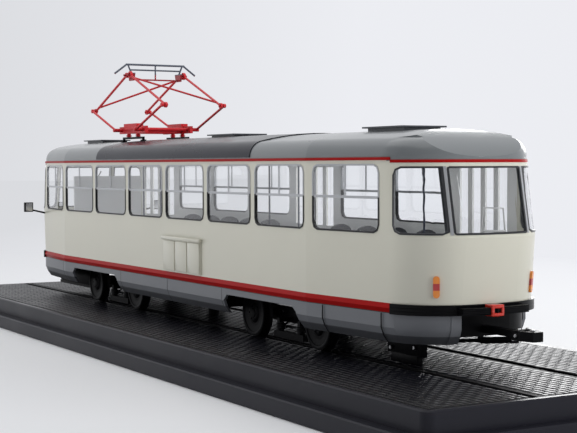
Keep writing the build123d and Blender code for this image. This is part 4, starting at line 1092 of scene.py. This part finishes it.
def collector_head():
    """One strip with horns on a wire frame, cheeks and pivot pins, in place of the source's head."""
    mesh = bmesh.new()
    for y0, z0, y1, z1, radius in HEAD_BARS:
        tube(mesh, [at(HEAD_X, y0, z0), at(HEAD_X, y1, z1)], radius, 10)
    for sy in (1, -1):
        rows = []
        for y in (HEAD_CHEEK_Y - HEAD_CHEEK_HALF, HEAD_CHEEK_Y + HEAD_CHEEK_HALF):
            rows.append([at(HEAD_X + x, sy * y, z) for x, z in HEAD_CHEEK])
        rings(mesh, rows)
        for sx in (1, -1):
            x = HEAD_X + sx * HEAD_PIN_X
            ends = [at(x, sy * y, HEAD_PIN_Z) for y in (HEAD_CHEEK_Y, HEAD_PIN_END)]
            tube(mesh, ends, HEAD_PIN_R, 12)
    piece = add_piece("collector_head", mesh, "collector", "head_grey")
    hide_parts("panto_head")


# Studio
def camera():
    """Camera where the photograph was taken from."""
    data = bpy.data.cameras.new("camera")
    data.lens = CAMERA_LENS
    data.sensor_width = CAMERA_SENSOR
    data.clip_start, data.clip_end = CAMERA_CLIP
    eye = put("camera", data)
    ahead = Vector((
        math.cos(CAMERA_YAW) * math.cos(CAMERA_PITCH),
        -math.sin(CAMERA_YAW) * math.cos(CAMERA_PITCH),
        -math.sin(CAMERA_PITCH),
    ))
    right = ahead.cross(Vector((0, 0, 1))).normalized()
    up = right.cross(ahead)
    side = math.cos(CAMERA_ROLL) * right + math.sin(CAMERA_ROLL) * up
    top = -math.sin(CAMERA_ROLL) * right + math.cos(CAMERA_ROLL) * up
    turn = Matrix((side, top, -ahead)).transposed()
    eye.matrix_world = Matrix.Translation(CAMERA_AT) @ turn.to_4x4()
    bpy.context.scene.camera = eye


LAMPS = [
    # name, place, aim, size, power, shows in gloss
    ("top_soft", (0.0, 0.1, 0.95), (0.0, 0.0, 0.05), (1.5, 1.1), 6.0, True),
    ("front_left_soft", (0.90, 0.85, 0.13), (0.0, 0.0, 0.06), (0.6, 0.24), 3.2, False),
    ("rear_right_soft", (-1.05, -0.75, 0.32), (-0.1, 0.0, 0.06), (0.9, 0.6), 8.5, False),
    ("back_soft", (0.75, -1.15, 0.42), (0.0, 0.0, 0.03), (0.8, 0.5), 8.0, True),
]


def area_light(name, place, target, size, power, in_gloss):
    data = bpy.data.lights.new(name, "AREA")
    data.shape = "RECTANGLE"
    data.size, data.size_y = size
    data.energy = power
    lamp = put(name, data)
    lamp.location = place
    lamp.rotation_euler = (Vector(target) - Vector(place)).to_track_quat("-Z", "Y").to_euler()
    lamp.visible_glossy = in_gloss
    lamp.visible_transmission = False
    lamp.visible_camera = False


BACKDROP = (0.84, 0.85, 0.89)
BACKDROP_LEFT = (0.70, 0.71, 0.74)
BACKDROP_WAY = (0.868, -0.496, 0.0)
BACKDROP_SIDE = (0.496, 0.868, 0.0)
BACKDROP_SPAN = (-0.05, 0.25)
FILL = (0.92, 0.94, 0.98)
FILL_STRENGTH = 0.36
GLOSS = (0.96, 0.97, 1.0)
GLOSS_RANGE = (0.12, 0.92)
GLOSS_SPAN = (-0.3, 0.6)


def backdrop_tones(tree, place, span):
    """The backdrop's colour, darker to the left."""
    share = spread(tree, along(tree, place, BACKDROP_SIDE), 0.0, 1.0, *span)
    return ramp(tree, share, [(0.0, BACKDROP), (1.0, BACKDROP_LEFT)])


def world():
    """Pale backdrop for what looks at it, darker behind the camera for gloss, a soft fill for the rest."""
    scene_world = bpy.data.worlds.new("studio")
    bpy.context.scene.world = scene_world
    scene_world.use_nodes = True
    tree = scene_world.node_tree
    tree.nodes.clear()
    look = tree.nodes.new("ShaderNodeTexCoord").outputs["Generated"]
    shown = tree.nodes.new("ShaderNodeBackground")
    tree.links.new(backdrop_tones(tree, look, BACKDROP_SPAN), shown.inputs["Color"])
    gloss = tree.nodes.new("ShaderNodeBackground")
    gloss.inputs["Color"].default_value = (*GLOSS, 1.0)
    strength = spread(tree, along(tree, look, BACKDROP_WAY), *GLOSS_RANGE, *GLOSS_SPAN)
    tree.links.new(strength, gloss.inputs["Strength"])
    fill = tree.nodes.new("ShaderNodeBackground")
    fill.inputs["Color"].default_value = (*FILL, 1.0)
    fill.inputs["Strength"].default_value = FILL_STRENGTH
    glossy = ray_is(tree, "Is Glossy Ray")
    seen = ray_is(tree, "Is Camera Ray", "Is Transmission Ray")
    unseen = mix_shaders(tree, glossy, fill.outputs["Background"], gloss.outputs["Background"])
    out = tree.nodes.new("ShaderNodeOutputWorld")
    tree.links.new(mix_shaders(tree, seen, unseen, shown.outputs["Background"]), out.inputs["Surface"])


FLOOR_REACH = 6.0
FLOOR_NEAR = 0.03
FLOOR_FAR = 0.42
FLOOR_DROP = 0.0002
FLOOR_SPAN = (-0.05, 0.30)
FLOOR_WHITE = (0.84, 0.845, 0.86)
FLOOR_ROUGH = 0.7
FLOOR_SPECULAR = 0.1


def from_plinth(tree, place):
    """Distance on the floor from the plinth's edge."""
    half = (cad_box[1] - cad_box[0]) / 2
    gaps = []
    for axis, size in (("X", half.x), ("Y", half.y)):
        reach = math_node(tree, "ABSOLUTE", axis_of(tree, place, axis))
        beyond = math_node(tree, "SUBTRACT", reach, size)
        gaps.append(math_node(tree, "POWER", math_node(tree, "MAXIMUM", beyond, 0.0), 2.0))
    return math_node(tree, "SQRT", math_node(tree, "ADD", gaps[0], gaps[1]))


def floor():
    """Pale floor that keeps the shadow near the plinth and runs into the backdrop farther out."""
    mesh = bpy.data.meshes.new("studio_floor")
    r = FLOOR_REACH
    mesh.from_pydata([(-r, -r, 0), (r, -r, 0), (r, r, 0), (-r, r, 0)], [], [(0, 1, 2, 3)])
    plane = put("studio_floor", mesh)
    plane.location.z = -FLOOR_DROP
    material, tree, shader, place = tree_of("studio_white")
    shader.inputs["Base Color"].default_value = (*FLOOR_WHITE, 1.0)
    shader.inputs["Roughness"].default_value = FLOOR_ROUGH
    shader.inputs["Specular IOR Level"].default_value = FLOOR_SPECULAR
    share = spread(tree, from_plinth(tree, place), 0.0, 1.0, FLOOR_NEAR, FLOOR_FAR)
    glow = tree.nodes.new("ShaderNodeEmission")
    tree.links.new(backdrop_tones(tree, place, FLOOR_SPAN), glow.inputs["Color"])
    seen = ray_is(tree, "Is Camera Ray", "Is Transmission Ray", "Is Glossy Ray")
    blend = math_node(tree, "MULTIPLY", share, seen)
    set_surface(tree, mix_shaders(tree, blend, shader.outputs["BSDF"], glow.outputs["Emission"]))
    mesh.materials.append(material)


dress_nodes()
stones()
wheel_faces()
bogie_gear()
rear_guard()
lifeguard_sides()
tow_sockets()
coupler_bolts()
headlamp_rims()
mirror_glasses()
wiper()
skirt_seams()
louvre_fields()
skirt_corners()
seats()
slim_poles()
inner_rails()
panto_trim()
collector_head()
camera()
world()
floor()
for row in LAMPS:
    area_light(*row)
bpy.context.scene.view_settings.view_transform = "Standard"
